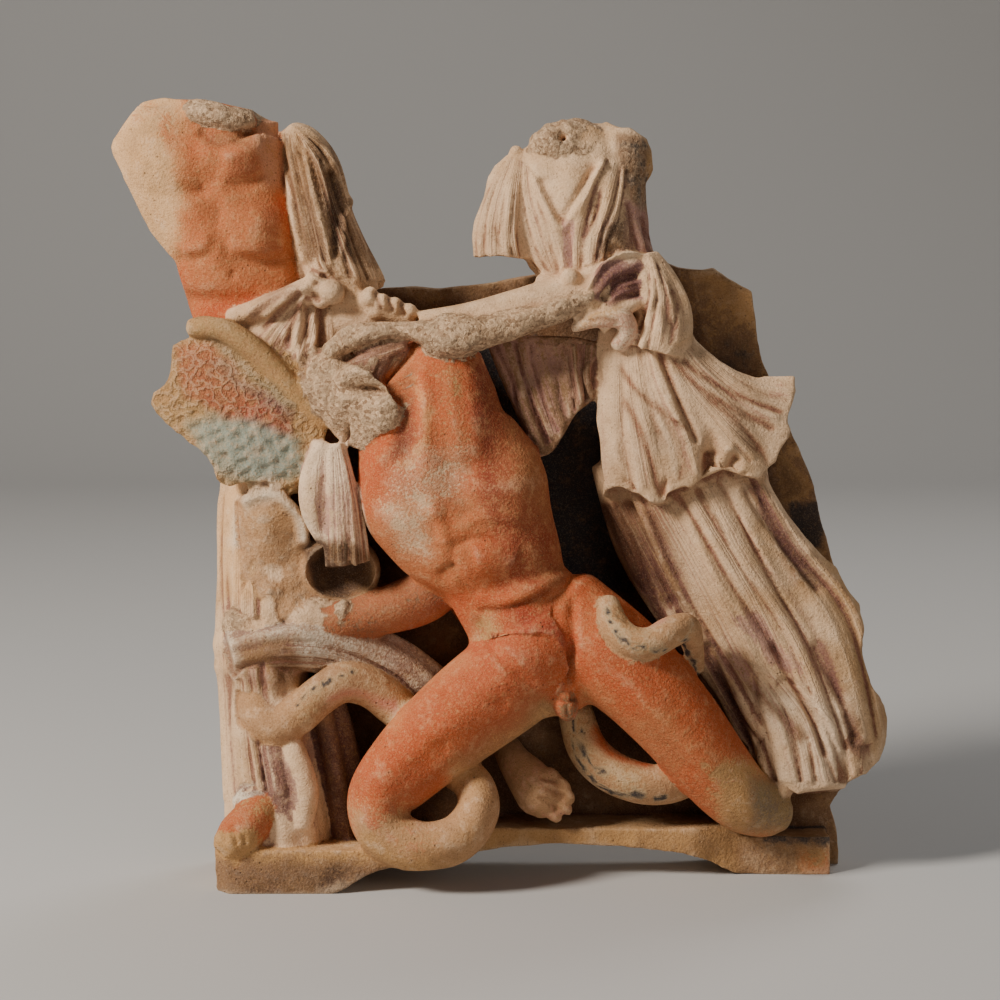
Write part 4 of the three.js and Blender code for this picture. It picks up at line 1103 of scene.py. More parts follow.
sheet = read_sheet(spot)
PIT_ACROSS, PIT_DOWN, PIT_WIDE, PIT_TALL = 342, 572, 37, 29
PIT_RIM, PIT_DEEP, NEARER_CLOTH = 122, 38, 158
round_it = ((sheet[:, 0] - PIT_ACROSS) / PIT_WIDE) ** 2 + ((sheet[:, 1] - PIT_DOWN) / PIT_TALL) ** 2
pit = PIT_RIM - PIT_DEEP * np.sqrt(np.clip(1 - round_it, 0, 1))
spared = belongs("scarf", "scarf_end", "giant")
in_pit = (round_it < 1) & (sheet[:, 2] < NEARER_CLOTH) & ~spared & (facing > 0)
sheet[in_pit, 2] = np.minimum(sheet[in_pit, 2], pit[in_pit])
spot[in_pit] = on_sheet(sheet[in_pit])
spot = press(spot)
skin.vertices.foreach_set("co", spot.astype(np.float32).ravel())
skin.update()
print("skin worked; hollow has", int(in_pit.sum()), "points")

# %% [markdown]
# ## A lighter skin
# The skin has far more triangles than its smooth places need. Collapsing the least important ones keeps folds
# and edges sharp. Specks that came loose on the way are taken off.

# %% Fewer triangles where the skin is even
MOST = 198000
worked = bpy.data.objects.new("worked", skin)
bpy.context.scene.collection.objects.link(worked)
thin = worked.modifiers.new("thin", "DECIMATE")
skin.calc_loop_triangles()
thin.ratio = MOST / len(skin.loop_triangles)


def without_specks(mesh):
    """Only the largest body of a mesh. Each point takes the lowest number among the points it shares a
    triangle with until nothing changes, and the triangles with the commonest number stay."""
    mesh.calc_loop_triangles()
    corners = np.empty(len(mesh.loop_triangles) * 3, np.int32)
    mesh.loop_triangles.foreach_get("vertices", corners)
    corners, body, before = corners.reshape(-1, 3), np.arange(len(mesh.vertices)), None
    while before is None or (body != before).any():
        before, lowest = body.copy(), body[corners].min(1)
        for k in range(3):
            np.minimum.at(body, corners[:, k], lowest)
        body = body[body]
    used, corners = np.unique(corners[body[corners[:, 0]] == np.bincount(body).argmax()], return_inverse=True)
    clean = mesh_of("relief_surface", coordinates(mesh)[used], corners.reshape(-1, 3).tolist())
    print("mended faces:", clean.validate())
    return clean


surface = without_specks(evaluated(worked))
bpy.data.objects.remove(worked)
surface.calc_loop_triangles()
print("triangles:", len(surface.loop_triangles))

# %% [markdown]
# ## Paint, slip, soot, painted shade and bare clay
# The real relief was covered with a white slip and painted: orange-red flesh, mauve cloth, blue and red
# feathers, spotted snakes. Much of it has worn away. Each point of the finished skin is given a paint
# colour, the tone of the clay under it, how worn and broken it is, how much soot and painted shade it
# carries, and how hollow it is. They are set by form first, and then by zones drawn on the sheet, from broad
# to small.

# %% Points of the finished skin
spot = coordinates(surface)
amount = len(spot)
one, two, degree = neighbours(surface)
owner = owners(surface)
sheet = read_sheet(spot)
way_out = normals(surface)
facing = way_out @ np.array([0, -COS, SIN])


def tone(r, g, b):
    """A colour given as seen on a screen (0 to 255), as light values from 0 to 1."""
    c = np.array([r, g, b]) / 255
    return np.where(c <= 0.04045, c / 12.92, ((c + 0.055) / 1.055) ** 2.4)


COLOURS = {
    "orange": tone(182, 76, 38), "red_orange": tone(160, 58, 36), "deep_red": tone(128, 54, 38),
    "peach": tone(214, 144, 92), "cream": tone(230, 194, 156), "pale": tone(238, 208, 174),
    "slip": tone(224, 208, 184), "mauve": tone(182, 138, 128), "purple": tone(118, 80, 76),
    "dark_purple": tone(84, 54, 58), "ochre": tone(186, 142, 92), "brown": tone(132, 100, 74),
    "dark_brown": tone(84, 62, 48), "grey_brown": tone(138, 122, 100), "soot": tone(58, 60, 66),
    "feather_blue": tone(126, 146, 136), "feather_red": tone(152, 66, 48), "snake": tone(200, 178, 138),
    "pink": tone(206, 140, 120), "sand": tone(184, 140, 100), "wheat": tone(228, 182, 132),
    "olive": tone(136, 118, 80), "slate": tone(112, 90, 66),
}
paint = np.tile(COLOURS["mauve"], (amount, 1))
clay = np.tile(COLOURS["cream"], (amount, 1))
worn = np.full(amount, 0.9)
rough, soot = np.zeros(amount), np.zeros(amount)


ragged = sheet.copy()
ragged[:, 0] += 9 * lumps(spot, 0.02, 21, 4)
ragged[:, 1] += 9 * lumps(spot, 0.02, 22, 4)


def inside(outline, soft):
    """1 inside an outline on the sheet and 0 outside, fading over soft squares either side of the line."""
    line = np.asarray(outline, float)
    low, high = line.min(0) - soft, line.max(0) + soft
    found = np.nonzero(((ragged[:, :2] > low) & (ragged[:, :2] < high)).all(1))[0]
    _, gap, within = against(ragged[found, None, :2], outline)
    weight = np.zeros(amount)
    weight[found] = smooth(np.where(within, gap.min(1), -gap.min(1)), -soft, soft)
    return weight


def lay(forms_named, outline=None, soft=8, line=None, half=6, share=1.0, **kinds):
    """Lays colour and wear over forms: everywhere, inside an outline, or along a line on the sheet."""
    weight = belongs(*forms_named).astype(float) if forms_named else np.ones(amount)
    if outline is not None:
        weight = weight * inside(outline, soft)
    if line is not None:
        found, distance, _, along = near_line(ragged, line, 3 * half)
        near = np.zeros(amount)
        near[found] = np.exp(-((distance / half) ** 2)) * smooth(along, 0, 0.1) * smooth(1 - along, 0, 0.1)
        weight = weight * near
    weight = weight * share
    for values, key in ((paint, "paint"), (clay, "clay")):
        if key in kinds:
            values += (COLOURS[kinds[key]] - values) * weight[:, None]
    for values, key in ((worn, "worn"), (rough, "rough"), (soot, "soot")):
        if key in kinds:
            values += (kinds[key] - values) * weight


# %% [markdown]
# ## Broad colours
# The painter gave flesh, cloth, feathers and snakes one colour each. Form by form comes first, so that no
# later patch has to cover much.

# %% Broad colours, form by form
CLOTHES = ("god_", "bodice", "sleeve", "overfold", "skirt", "hem_folds", "cuff", "falling_folds", "scarf",
           "scarf_end", "flying_cloak")
lay([*CLOTHES, "goddess_"], paint="mauve", clay="cream", worn=0.86)
lay(["god"], paint="orange", clay="peach", worn=0.22)
lay(["god_"], paint="mauve", clay="cream", worn=0.8)
lay(["giant", "giant_"], paint="orange", clay="peach", worn=0.24)
lay(["god_cloak"], paint="brown", clay="cream", worn=0.62)
# Dark brown stripes down the cloak stand for the shade in its fold valleys: painted shade on the brown cloth.
for x, y in [(294, 302), (306, 316), (322, 332), (338, 344), (350, 366)]:
    lay(["god_cloak"], None, line=[(x - 6, 138), (x + 2, 180), (y, 222), (y + 10, 268)], half=5,
        paint="dark_brown", clay="brown", worn=0.3, share=0.85)
lay(["scarf_knot"], paint="purple", clay="mauve", worn=0.3)
lay(["god_ankle_ring"], paint="purple", clay="slip", worn=0.6)
lay(["snake_"], paint="snake", clay="sand", worn=0.62)
lay(["god_foot"], paint="orange", clay="ochre", worn=0.35)
lay(["goddess_foot"], paint="pink", clay="sand", worn=0.62)
lay(["god_hand", "goddess_arm", "god_lap", "belt", "shoulder_button"], paint="pale", clay="cream", worn=0.8)
lay(["wing", "wing_edge"], paint="olive", clay="ochre", worn=0.55)
lay(["background"], paint="slate", clay="brown", worn=0.6, soot=0.12, rough=0.25)
lay(["plinth"], paint="brown", clay="ochre", worn=0.6, rough=0.3)
lay(["flying_cloak"], paint="mauve", clay="brown", worn=0.55)
lay(["scarf", "scarf_end"], paint="mauve", clay="pale", worn=0.6)
lay(BREAKS, paint="grey_brown", clay="grey_brown", worn=0.5, rough=1.0)
lay(["broken_arm", "broken_knee", "arm_stump"], clay="cream", share=0.5)

# %% [markdown]
# ## Worn zones, painted shade and a painted highlight
# Some patches darken places where shade falls, and one lightens the top of a thigh.
# Paint has gone where hands and soil rubbed, and it stays in the folds. Each patch is an outline or a line on
# the sheet with a soft, ragged edge. Patches set one by one follow the photograph, which noise alone cannot.

# %% Zones on the left god
lay(["god"], [(90, 60), (180, 80), (183, 130), (178, 170), (184, 215), (176, 255), (168, 270), (90, 270)],
    15, paint="peach", clay="wheat", worn=0.8)
lay(["god"], [(100, 90), (150, 84), (168, 130), (160, 200), (172, 262), (150, 262), (100, 150)], 20,
    paint="ochre", worn=0.62, share=0.6)
lay(["god"], [(160, 108), (176, 112), (182, 150), (172, 156), (160, 130)], 8, paint="orange", worn=0.45)
lay(["god"], [(118, 100), (150, 96), (160, 112), (136, 122), (118, 128)], 8, paint="orange", worn=0.62)
lay(["god"], [(255, 118), (285, 118), (286, 190), (268, 180), (258, 150)], 8, paint="pink", clay="peach",
    worn=0.45)
lay(["god"], [(182, 215), (215, 205), (220, 250), (190, 258)], 10, paint="orange", worn=0.1)
# A darker red under the breast on the right, and deep red in the hollow at the collarbone: painted shade.
lay(["god"], [(226, 155), (260, 150), (262, 172), (230, 180)], 7, paint="red_orange", worn=0.05)
lay(["god"], [(205, 128), (255, 128), (250, 146), (210, 146)], 6, paint="deep_red", worn=0.05)
lay(["god"], [(260, 205), (298, 205), (304, 262), (262, 264)], 9, paint="red_orange", worn=0.08)
# Darker lines on the cloak: painted shade along two deep fold valleys, its turned right edge and its edge
# against the torso.
lay(["god_cloak"], None, line=[(330, 168), (336, 215), (338, 262)], half=6, paint="dark_brown",
    clay="brown", worn=0.25, soot=0.25)
lay(["god_cloak"], None, line=[(352, 200), (362, 235), (372, 270)], half=9, paint="brown", worn=0.3,
    soot=0.25)
lay(["god_cloak"], None, line=[(287, 130), (292, 160), (296, 175)], half=6, soot=0.5)
lay(["god_cloak"], None, line=[(300, 175), (306, 215), (316, 262)], half=6, paint="brown", worn=0.3)
lay(["god_knot", "god_cloak", "god_hip"], [(298, 284), (312, 286), (312, 302), (298, 300)], 4,
    paint="purple", worn=0.1)
lay(["god_hip", "god_sash", "god"], None, line=[(250, 318), (275, 300), (297, 288)], half=5, paint="purple",
    worn=0.3)

# %% Zones on the wing
lay(["wing"], [(176, 350), (210, 338), (245, 372), (290, 412), (290, 440), (262, 440), (215, 408),
    (185, 400)], 7, paint="feather_red", clay="ochre", worn=0.08)
lay(["wing"], None, line=[(214, 352), (240, 378), (270, 400), (296, 420)], half=8, paint="purple",
    worn=0.15)
lay(["wing"], [(184, 425), (215, 412), (255, 420), (300, 442), (306, 476), (270, 486), (226, 478),
    (198, 452)], 8, paint="feather_blue", clay="cream", worn=0.22)
lay(["wing_edge", "wing"], None, line=[(200, 332), (230, 350), (262, 380), (300, 412)], half=4.5,
    paint="grey_brown", clay="olive", worn=0.45)

broad_feathers = inside([(184, 425), (215, 412), (255, 420), (300, 442), (306, 476), (270, 486),
                         (198, 452)], 8)
plumes = belongs("wing") * (1 - broad_feathers)

# %% Zones on the giant
lay(["giant"], None, line=[(452, 365), (456, 420), (462, 470)], half=16, paint="orange", clay="ochre",
    worn=0.42)
lay(["giant"], [(400, 440), (470, 450), (474, 500), (430, 512), (392, 500)], 16, clay="cream", worn=0.5)
lay(["giant"], [(380, 505), (425, 500), (432, 560), (395, 556)], 14, clay="cream", worn=0.58)
# Deep red over the right half of the giant's torso and along the edge where it turns away: painted shade.
lay(["giant"], [(468, 345), (520, 380), (556, 480), (570, 590), (500, 590), (482, 520), (478, 440)], 12,
    paint="deep_red", worn=0.1, share=0.75)
lay(["giant"], None, line=[(476, 352), (482, 420), (488, 470), (500, 520)], half=11, paint="deep_red",
    worn=0.05, share=0.6)
lay(["giant"], [(474, 610), (500, 612), (500, 650), (480, 680), (468, 650)], 12, clay="ochre", worn=0.62)
lay(["giant"], [(505, 610), (570, 596), (572, 660), (520, 660)], 8, paint="red_orange", worn=0.14)
lay(["giant"], [(508, 660), (566, 658), (560, 694), (532, 692)], 7, paint="cream", clay="slip", worn=0.7,
    share=0.7)
lay(["giant_sex"], None, paint="orange", clay="brown", worn=0.5)
lay(["giant"], [(500, 690), (545, 700), (540, 745), (470, 760), (470, 720)], 14, clay="ochre", worn=0.55)
lay(["giant_left_leg"], [(350, 806), (400, 806), (500, 800), (500, 880), (350, 880)], 20, paint="orange",
    clay="sand", worn=0.7)
lay(["giant_left_leg"], None, line=[(360, 830), (390, 862), (430, 868), (470, 850)], half=11, clay="ochre",
    paint="ochre", worn=0.7)
lay(["giant_left_leg", "giant"], None, line=[(556, 700), (524, 738), (482, 768), (446, 778)], half=18,
    clay="ochre", paint="olive", worn=0.6, share=0.8)
# Peach along the top of the thigh: a painted highlight.
lay(["giant_left_leg"], None, line=[(384, 730), (420, 682), (470, 652)], half=12, paint="peach", share=0.5)
lay(["giant_left_leg"], [(450, 770), (505, 770), (505, 870), (440, 860)], 12, paint="peach", clay="sand",
    worn=0.8)
lay(["giant_left_leg"], None, line=[(402, 800), (380, 812), (372, 830)], half=8, paint="orange", worn=0.4)
lay(["giant_right_leg"], [(700, 760), (770, 755), (810, 800), (790, 850), (720, 830)], 14, clay="ochre",
    worn=0.66)
lay(["giant_right_leg"], [(755, 780), (800, 785), (800, 830), (750, 830)], 8, paint="olive",
    clay="grey_brown", worn=0.5)
lay(["giant"], None, line=[(404, 372), (422, 396), (426, 424), (418, 450), (398, 472)], half=7,
    clay="peach", worn=0.7, share=0.7)
# Deep red in the armpit hollow beside the broken shoulder: painted shade.
lay(["giant"], [(398, 384), (414, 400), (416, 440), (396, 458), (380, 466), (392, 440), (400, 420)], 5,
    paint="deep_red", worn=0.2)
# The giant's arm is darkened with red-orange, brown clay and soot: painted shade over its orange paint.
lay(["giant_arm"], None, paint="red_orange", clay="brown", worn=0.35, soot=0.15)
lay(["arm_stump", "broken_arm", "god_neck", "goddess_neck"], None, clay="grey_brown", paint="grey_brown",
    share=0.5)


# %% Zones on the snakes and the foot
lay(["snake_left"], None, line=[(402, 708), (372, 700), (345, 694), (322, 706)], half=7, paint="pink",
    worn=0.15)
lay(["snake_left"], [(240, 690), (300, 690), (290, 750), (240, 745)], 10, paint="peach", clay="sand",
    worn=0.7)
lay(["snake_over_thigh"], None, line=[(632, 614), (650, 622), (668, 612)], half=6, paint="pink", worn=0.1)
lay(["snake_behind_thigh"], None, line=[(592, 725), (606, 750), (630, 762), (655, 764)], half=6,
    paint="orange", worn=0.1)
# The snakes' spots are a painted pattern in the dark colour of the soot mask.
for row in [[(571, 722), (574, 740), (580, 757), (590, 771), (604, 783), (622, 792), (644, 797), (666, 799)],
            [(583, 732), (587, 748), (594, 761), (606, 772)],
            [(606, 612), (612, 632), (624, 645), (642, 652), (662, 648)],
            [(686, 638), (690, 652), (694, 666), (698, 680)],
            [(352, 676), (330, 682), (312, 692), (298, 706)]]:
    for x, y in between(np.array(row, float), np.linspace(0, 1, 2 * len(row) - 1)):
        lay(["snake_"], [(x - 4, y), (x, y - 4), (x + 4, y), (x, y + 4)], 2.4, paint="soot", soot=1.0,
            worn=0.0, share=0.9)
lay(["god_foot"], [(205, 835), (245, 828), (262, 850), (250, 870), (205, 870)], 8, clay="ochre", worn=0.85)

# %% Zones on the cloth of the left god
lay(["god_hip", "god_leg_cloth"], [(218, 480), (262, 478), (262, 600), (216, 600)], 10, clay="wheat",
    worn=0.95)
lay([], [(236, 498), (262, 482), (280, 487), (264, 512), (248, 548), (236, 545)], 7, paint="slip",
    clay="slip", worn=0.9, share=0.8)
lay([], [(298, 512), (308, 525), (302, 545), (288, 552), (284, 535)], 5, paint="slip", clay="slip",
    worn=0.9, rough=0.3)
lay(["broken_knee"], None, clay="sand", paint="pink", worn=0.92, rough=0.5)
lay(["broken_knee"], None, line=[(240, 506), (262, 494), (282, 500), (300, 520), (306, 548)], half=7,
    clay="slip", paint="slip", rough=0.2)
lay(["broken_hand", "god_leg_cloth"], [(236, 602), (332, 598), (330, 640), (242, 640)], 8, clay="cream",
    worn=0.9, rough=0.45)
lay(["god_stretched_cloth"], None, paint="purple", clay="slip", worn=0.5, soot=0.2)
# The inner fold fills the gap between the drapery and the thigh; its dark purple is painted shade.
lay(["god_inner_fold"], None, paint="dark_purple", clay="brown", worn=0.4)
lay(["god_hanging_fold"], None, paint="mauve", clay="cream", worn=0.72)
lay(["god_hanging_fold"], None, line=[(280, 758), (290, 780), (297, 812)], half=6, paint="purple", worn=0.2)
lay(["god_leg_cloth"], [(262, 740), (312, 750), (316, 830), (268, 815)], 7, paint="purple", worn=0.2)
lay(["god_leg_cloth"], [(216, 640), (250, 640), (250, 800), (216, 800)], 12, paint="mauve", clay="cream",
    worn=0.82)
lay(["god_leg_cloth", "god_stretched_cloth"], [(235, 640), (300, 636), (310, 680), (262, 690), (240, 670)],
    8, clay="brown", worn=0.6, soot=0.3)

# %% Zones on the goddess
lay(["goddess_shoulder", "bodice"], [(622, 134), (652, 140), (656, 220), (640, 220), (626, 190),
    (618, 160)], 6, paint="brown", clay="brown", worn=0.5, soot=0.5, rough=0.6)
lay(["goddess_shoulder", "bodice"], [(645, 128), (664, 140), (664, 220), (650, 222), (650, 160)], 4,
    clay="ochre", paint="orange", worn=0.7)
lay(["bodice"], [(562, 224), (574, 222), (574, 268), (564, 268)], 3, paint="mauve", worn=0.05)
lay(["bodice"], [(625, 200), (655, 215), (662, 258), (640, 256)], 6, paint="mauve", worn=0.25)
lay(["bodice"], [(600, 230), (625, 215), (628, 258), (600, 262)], 7, paint="dark_brown", worn=0.3)
lay(["cuff"], [(600, 262), (645, 262), (645, 300), (598, 300)], 5, paint="purple", clay="mauve", worn=0.15)
lay(["cuff"], None, line=[(600, 262), (618, 253), (640, 256)], half=5, clay="pale", worn=0.95)
lay(["cuff_tip"], None, paint="pink", clay="pale", worn=0.5)
lay(["cuff_tip"], [(565, 335), (600, 300), (640, 300), (600, 325)], 5, paint="ochre", clay="pale", worn=0.5)
lay(["overfold"], None, clay="cream", paint="mauve", worn=0.93)
lay(["overfold"], [(770, 370), (798, 370), (796, 400), (772, 400)], 6, paint="mauve", worn=0.4)
lay(["skirt", "hem_folds", "overfold"], paint="pink", worn=0.8, share=0.45)
# Purple and brown on the skirt's left strip, beside the torso and below the overfold: painted shade.
lay(["skirt"], [(580, 500), (668, 500), (690, 620), (640, 610), (600, 560)], 14, paint="purple",
    clay="brown", worn=0.6)
lay(["skirt"], [(690, 500), (755, 500), (790, 600), (740, 620), (700, 590)], 14, clay="cream", worn=0.95)
# Purple and brown on the skirt's shaded side above the hem: painted shade.
lay(["skirt", "hem_folds"], [(752, 690), (790, 690), (806, 750), (772, 760)], 10, paint="purple",
    clay="brown", worn=0.5)
lay(["skirt"], [(735, 480), (765, 485), (825, 590), (800, 590)], 7, paint="purple", clay="brown", worn=0.5)
lay(["skirt"], [(700, 590), (770, 590), (815, 580), (815, 605), (760, 622), (705, 640)], 18, paint="olive",
    clay="ochre", worn=0.85, share=0.5)
lay(["skirt", "hem_folds"], [(725, 612), (760, 615), (800, 670), (780, 672)], 6, paint="mauve", worn=0.4)
lay(["skirt", "hem_folds"], [(690, 630), (715, 640), (755, 745), (735, 740)], 7, paint="purple",
    clay="brown", worn=0.5)
lay(["skirt", "hem_folds"], [(815, 640), (830, 640), (870, 745), (850, 745)], 6, paint="purple",
    clay="brown", worn=0.5)
lay(["skirt"], [(820, 555), (870, 600), (890, 720), (875, 760), (862, 700), (840, 620)], 8, clay="ochre",
    worn=0.9, rough=0.3, share=0.6)
lay(["skirt", "hem_folds"], [(740, 690), (850, 700), (846, 785), (765, 785)], 10, clay="pale", worn=0.92)
lay(["skirt", "hem_folds"], None, line=[(722, 645), (752, 688), (786, 724), (800, 742)], half=8,
    paint="mauve", clay="brown", worn=0.6)
lay(["skirt", "hem_folds"], None, line=[(846, 738), (858, 744), (868, 752)], half=7, paint="dark_purple",
    clay="brown", worn=0.2)
lay(["background"], [(640, 250), (770, 260), (860, 600), (830, 600), (740, 400), (650, 330)], 10,
    paint="ochre", clay="brown", worn=0.6, soot=0.05)
lay(["background"], [(715, 325), (755, 335), (765, 378), (722, 372)], 10, soot=0.55)
# The slab is darkened in the deep recess behind the giant and the flying cloak: painted shade.
lay(["background"], [(440, 340), (610, 340), (660, 600), (560, 600), (470, 420)], 14, paint="dark_brown",
    clay="dark_brown", soot=0.8)
lay(["background"], [(690, 266), (756, 288), (760, 330), (738, 300), (700, 278)], 6, paint="brown",
    clay="ochre", worn=0.6, soot=0.1)
lay(["hollow_limb"], None, paint="brown", clay="sand", worn=0.6, rough=0.0)
# Dark brown inside the hollow left by the broken limb: painted shade.
lay([], [(300, 548), (314, 538), (345, 536), (374, 560), (372, 588), (345, 602), (314, 594)], 4,
    paint="dark_brown", clay="dark_brown", worn=0.5, rough=0.0, soot=0.3)
# The plinth's front below the left god is darkened: painted shade over brown paint.
lay(["plinth"], [(205, 862), (330, 862), (400, 872), (400, 900), (205, 900)], 8, paint="brown",
    clay="dark_brown", soot=0.3, worn=0.5)
# Near black on the slab in the narrow gap right of the skirt, and dark brown under the overfold's tip:
# painted shade.
lay(["background"], [(785, 496), (822, 500), (826, 550), (800, 545)], 6, soot=0.9)
lay(["background"], [(770, 440), (815, 490), (788, 498)], 5, paint="dark_brown", worn=0.1, soot=0.1)

# %% Zones on the plinth
lay(["plinth"], [(480, 780), (650, 780), (650, 826), (480, 828)], 4, paint="purple", clay="brown", worn=0.3)
lay(["plinth"], [(490, 829), (645, 829), (640, 850), (480, 850)], 2.5, paint="ochre", clay="ochre",
    worn=0.4)
lay(["plinth"], [(770, 790), (845, 790), (845, 850), (760, 845)], 8, soot=0.75, clay="brown")
lay(["plinth"], [(800, 852), (840, 850), (840, 880), (800, 880)], 5, paint="orange", clay="ochre", worn=0.5)
lay(["plinth"], [(740, 845), (800, 845), (800, 878), (740, 872)], 7, paint="brown", clay="brown", worn=0.4,
    rough=0.5)
lay(["plinth"], [(262, 826), (360, 820), (360, 845), (270, 850)], 6, soot=0.4)
print("paint laid on", amount, "points")

# %% [markdown]
# ## Dirt, rubbing and painted shade
# Soil stays in gaps and folds, and ridges are rubbed clean. How deep a point lies behind its surroundings,
# and how hollow the skin is there, are measured on the mesh, so dirt follows the shapes by itself. The same
# measure darkens recesses, creases and fold valleys as painted shade, and lightens ridges as a painted
# highlight.

# %% Dirt and painted shade gather deep down
def deep_down():
    """How far each point lies behind its surroundings: the farthest-out skin in every cell of the sheet is
    averaged over about 40 squares, and the point's own distance out is taken from that."""
    cell = np.clip((sheet[:, :2] / 4).astype(int), 0, 249)
    top = np.zeros((250, 250))
    np.maximum.at(top, (cell[:, 1], cell[:, 0]), sheet[:, 2])
    for axis in (0, 1):
        for _ in range(2):
            top = sum(np.roll(top, k, axis) for k in range(-3, 4)) / 7
    # Deep points are darkened in the finish: dirt, and painted shade.
    return 0.6 * smooth(top[cell[:, 1], cell[:, 0]] - sheet[:, 2], 5, 45)


print("farthest down:", np.round(deep_down().max(), 2))

# %% [markdown]
# ## Hollows and hidden sides
# The back was never meant to be seen and was left as bare clay. Paint, soot and painted shade fade out on
# skin that faces away, and the folds carry their own fine brush streaks. Cut lines and pleat valleys are
# added to the hollows, so that the finish darkens them as painted shade.

# %% Hollows, edges and the sides that were never painted
def bend_of_skin(rounds):
    """How hollow the skin is: the neighbours' mean place, measured along the way out, in skin steps."""
    p = spot
    for _ in range(rounds):
        p = p + (average(p) - p) * 0.6
    return ((p - spot) * way_out).sum(1) / (0.0011 * math.sqrt(rounds))


strand, folded = np.zeros(amount), np.zeros(amount)
# Hollow skin is darkened in the finish as dirt and painted shade; ridges are lightened as wear and a painted
# highlight.
hollow = 0.6 * bend_of_skin(2) + 0.8 * bend_of_skin(12)
# Cut lines count as hollow, so they are darkened: painted shade in the cuts.
for forms_named, line, half in cuts:
    found, distance, _, along = near_line(sheet, line, 2.5 * half)
    depth = np.exp(-distance / max(2.4, half)) * smooth(along, 0, 0.1) * smooth(1 - along, 0, 0.1)
    hollow[found] = np.maximum(hollow[found], 0.9 * depth * belongs(*forms_named)[found])
# Pleat valleys count as hollow too, and are darkened: painted shade in the folds.
for forms_named, left, right, count, start, end in DRAPERY:
    found, _, valley, across, held = pleats_on(sheet, belongs(*forms_named), left, right, count, start, end)
    hollow[found] += 0.7 * valley
    strand[found], folded[found] = across, held
hollow = np.clip(hollow + deep_down(), -1, 1)
hollow = 0.7 * hollow + 0.3 * average(hollow)
flat_work = belongs("background", "plinth")
behind = np.where(flat_work, smooth(-facing, -0.6, 0.1), smooth(-facing, -0.1, 0.4))
worn += (0.97 - worn) * behind
paint += (COLOURS["cream"] - paint) * behind[:, None]
clay += (COLOURS["ochre"] * 0.5 + COLOURS["cream"] * 0.5 - clay) * behind[:, None] * 0.85
rough += (0.3 - rough) * behind
soot *= 1 - behind
clothed = belongs(*CLOTHES) & ~belongs("god_foot", "god_neck")
worn -= np.where(clothed, np.clip(hollow, 0, 1) * 0.55, 0)
worn += np.where(clothed, np.clip(-hollow, 0, 1) * 0.25, 0)
print("hollow from", round(float(hollow.min()), 2), "to", round(float(hollow.max()), 2))

# %% [markdown]
# ## On the mesh
# All of this is kept as named values on the points, which the finish reads. It costs far less than more
# triangles would.

# %% Store it all on the mesh
def store(name, values):
    """Numbers as a float on each point, colours as a colour on each point."""
    kind = "FLOAT" if values.ndim == 1 else "FLOAT_COLOR"
    layer = surface.attributes.new(name, kind, "POINT")
    if values.ndim == 1:
        layer.data.foreach_set("value", values.astype(np.float32))
    else:
        rgba = np.concatenate([values, np.ones((amount, 1))], 1)
        layer.data.foreach_set("color", rgba.astype(np.float32).ravel())


for name, values in [("paint", paint), ("clay", clay), ("worn", worn), ("rough", rough), ("soot", soot)]:
    store(name, np.clip(values, 0, 1))
for name, values in [("hollow", hollow), ("plumes", plumes), ("strand", strand), ("folded", folded)]:
    store(name, values)
surface.polygons.foreach_set("use_smooth", np.ones(len(surface.polygons), bool))
relief = bpy.data.objects.new("relief_surface", surface)
bpy.context.scene.collection.objects.link(relief)
bpy.data.objects.remove(forms)

# %% [markdown]
# ## The painted terracotta
# One finish covers it all, because it is all one clay. Paint comes off in flakes with ragged edges that
# are far finer than the mesh, so the shader decides where paint is left: noise is compared with how worn
# the point is. Under it lies clay full of grog, with pits and specks. Dirt and painted shade fill hollows,
# and ridges are rubbed pale, partly as a painted highlight. The bump gives grain, pits, and a coarse crumb
# where the clay is broken.

# %% Shader arithmetic
class Wire:
    """A number, colour or vector in a material, which can be written in sums and products."""

    def __init__(self, finish, socket):
        self.finish, self.socket = finish, socket

    def sum_with(self, operation, a, b):
        return self.finish.node("ShaderNodeMath", operation=operation, values=[a, b])

    def __add__(self, other):
        return self.sum_with("ADD", self, other)

    def __radd__(self, other):
        return self.sum_with("ADD", other, self)

    def __sub__(self, other):
        return self.sum_with("SUBTRACT", self, other)

    def __rsub__(self, other):
        return self.sum_with("SUBTRACT", other, self)

    def __mul__(self, other):
        return self.sum_with("MULTIPLY", self, other)

    def __rmul__(self, other):
        return self.sum_with("MULTIPLY", other, self)

    def beside(self, name):
        """Another output of the same node."""
        return Wire(self.finish, self.socket.node.outputs[name])


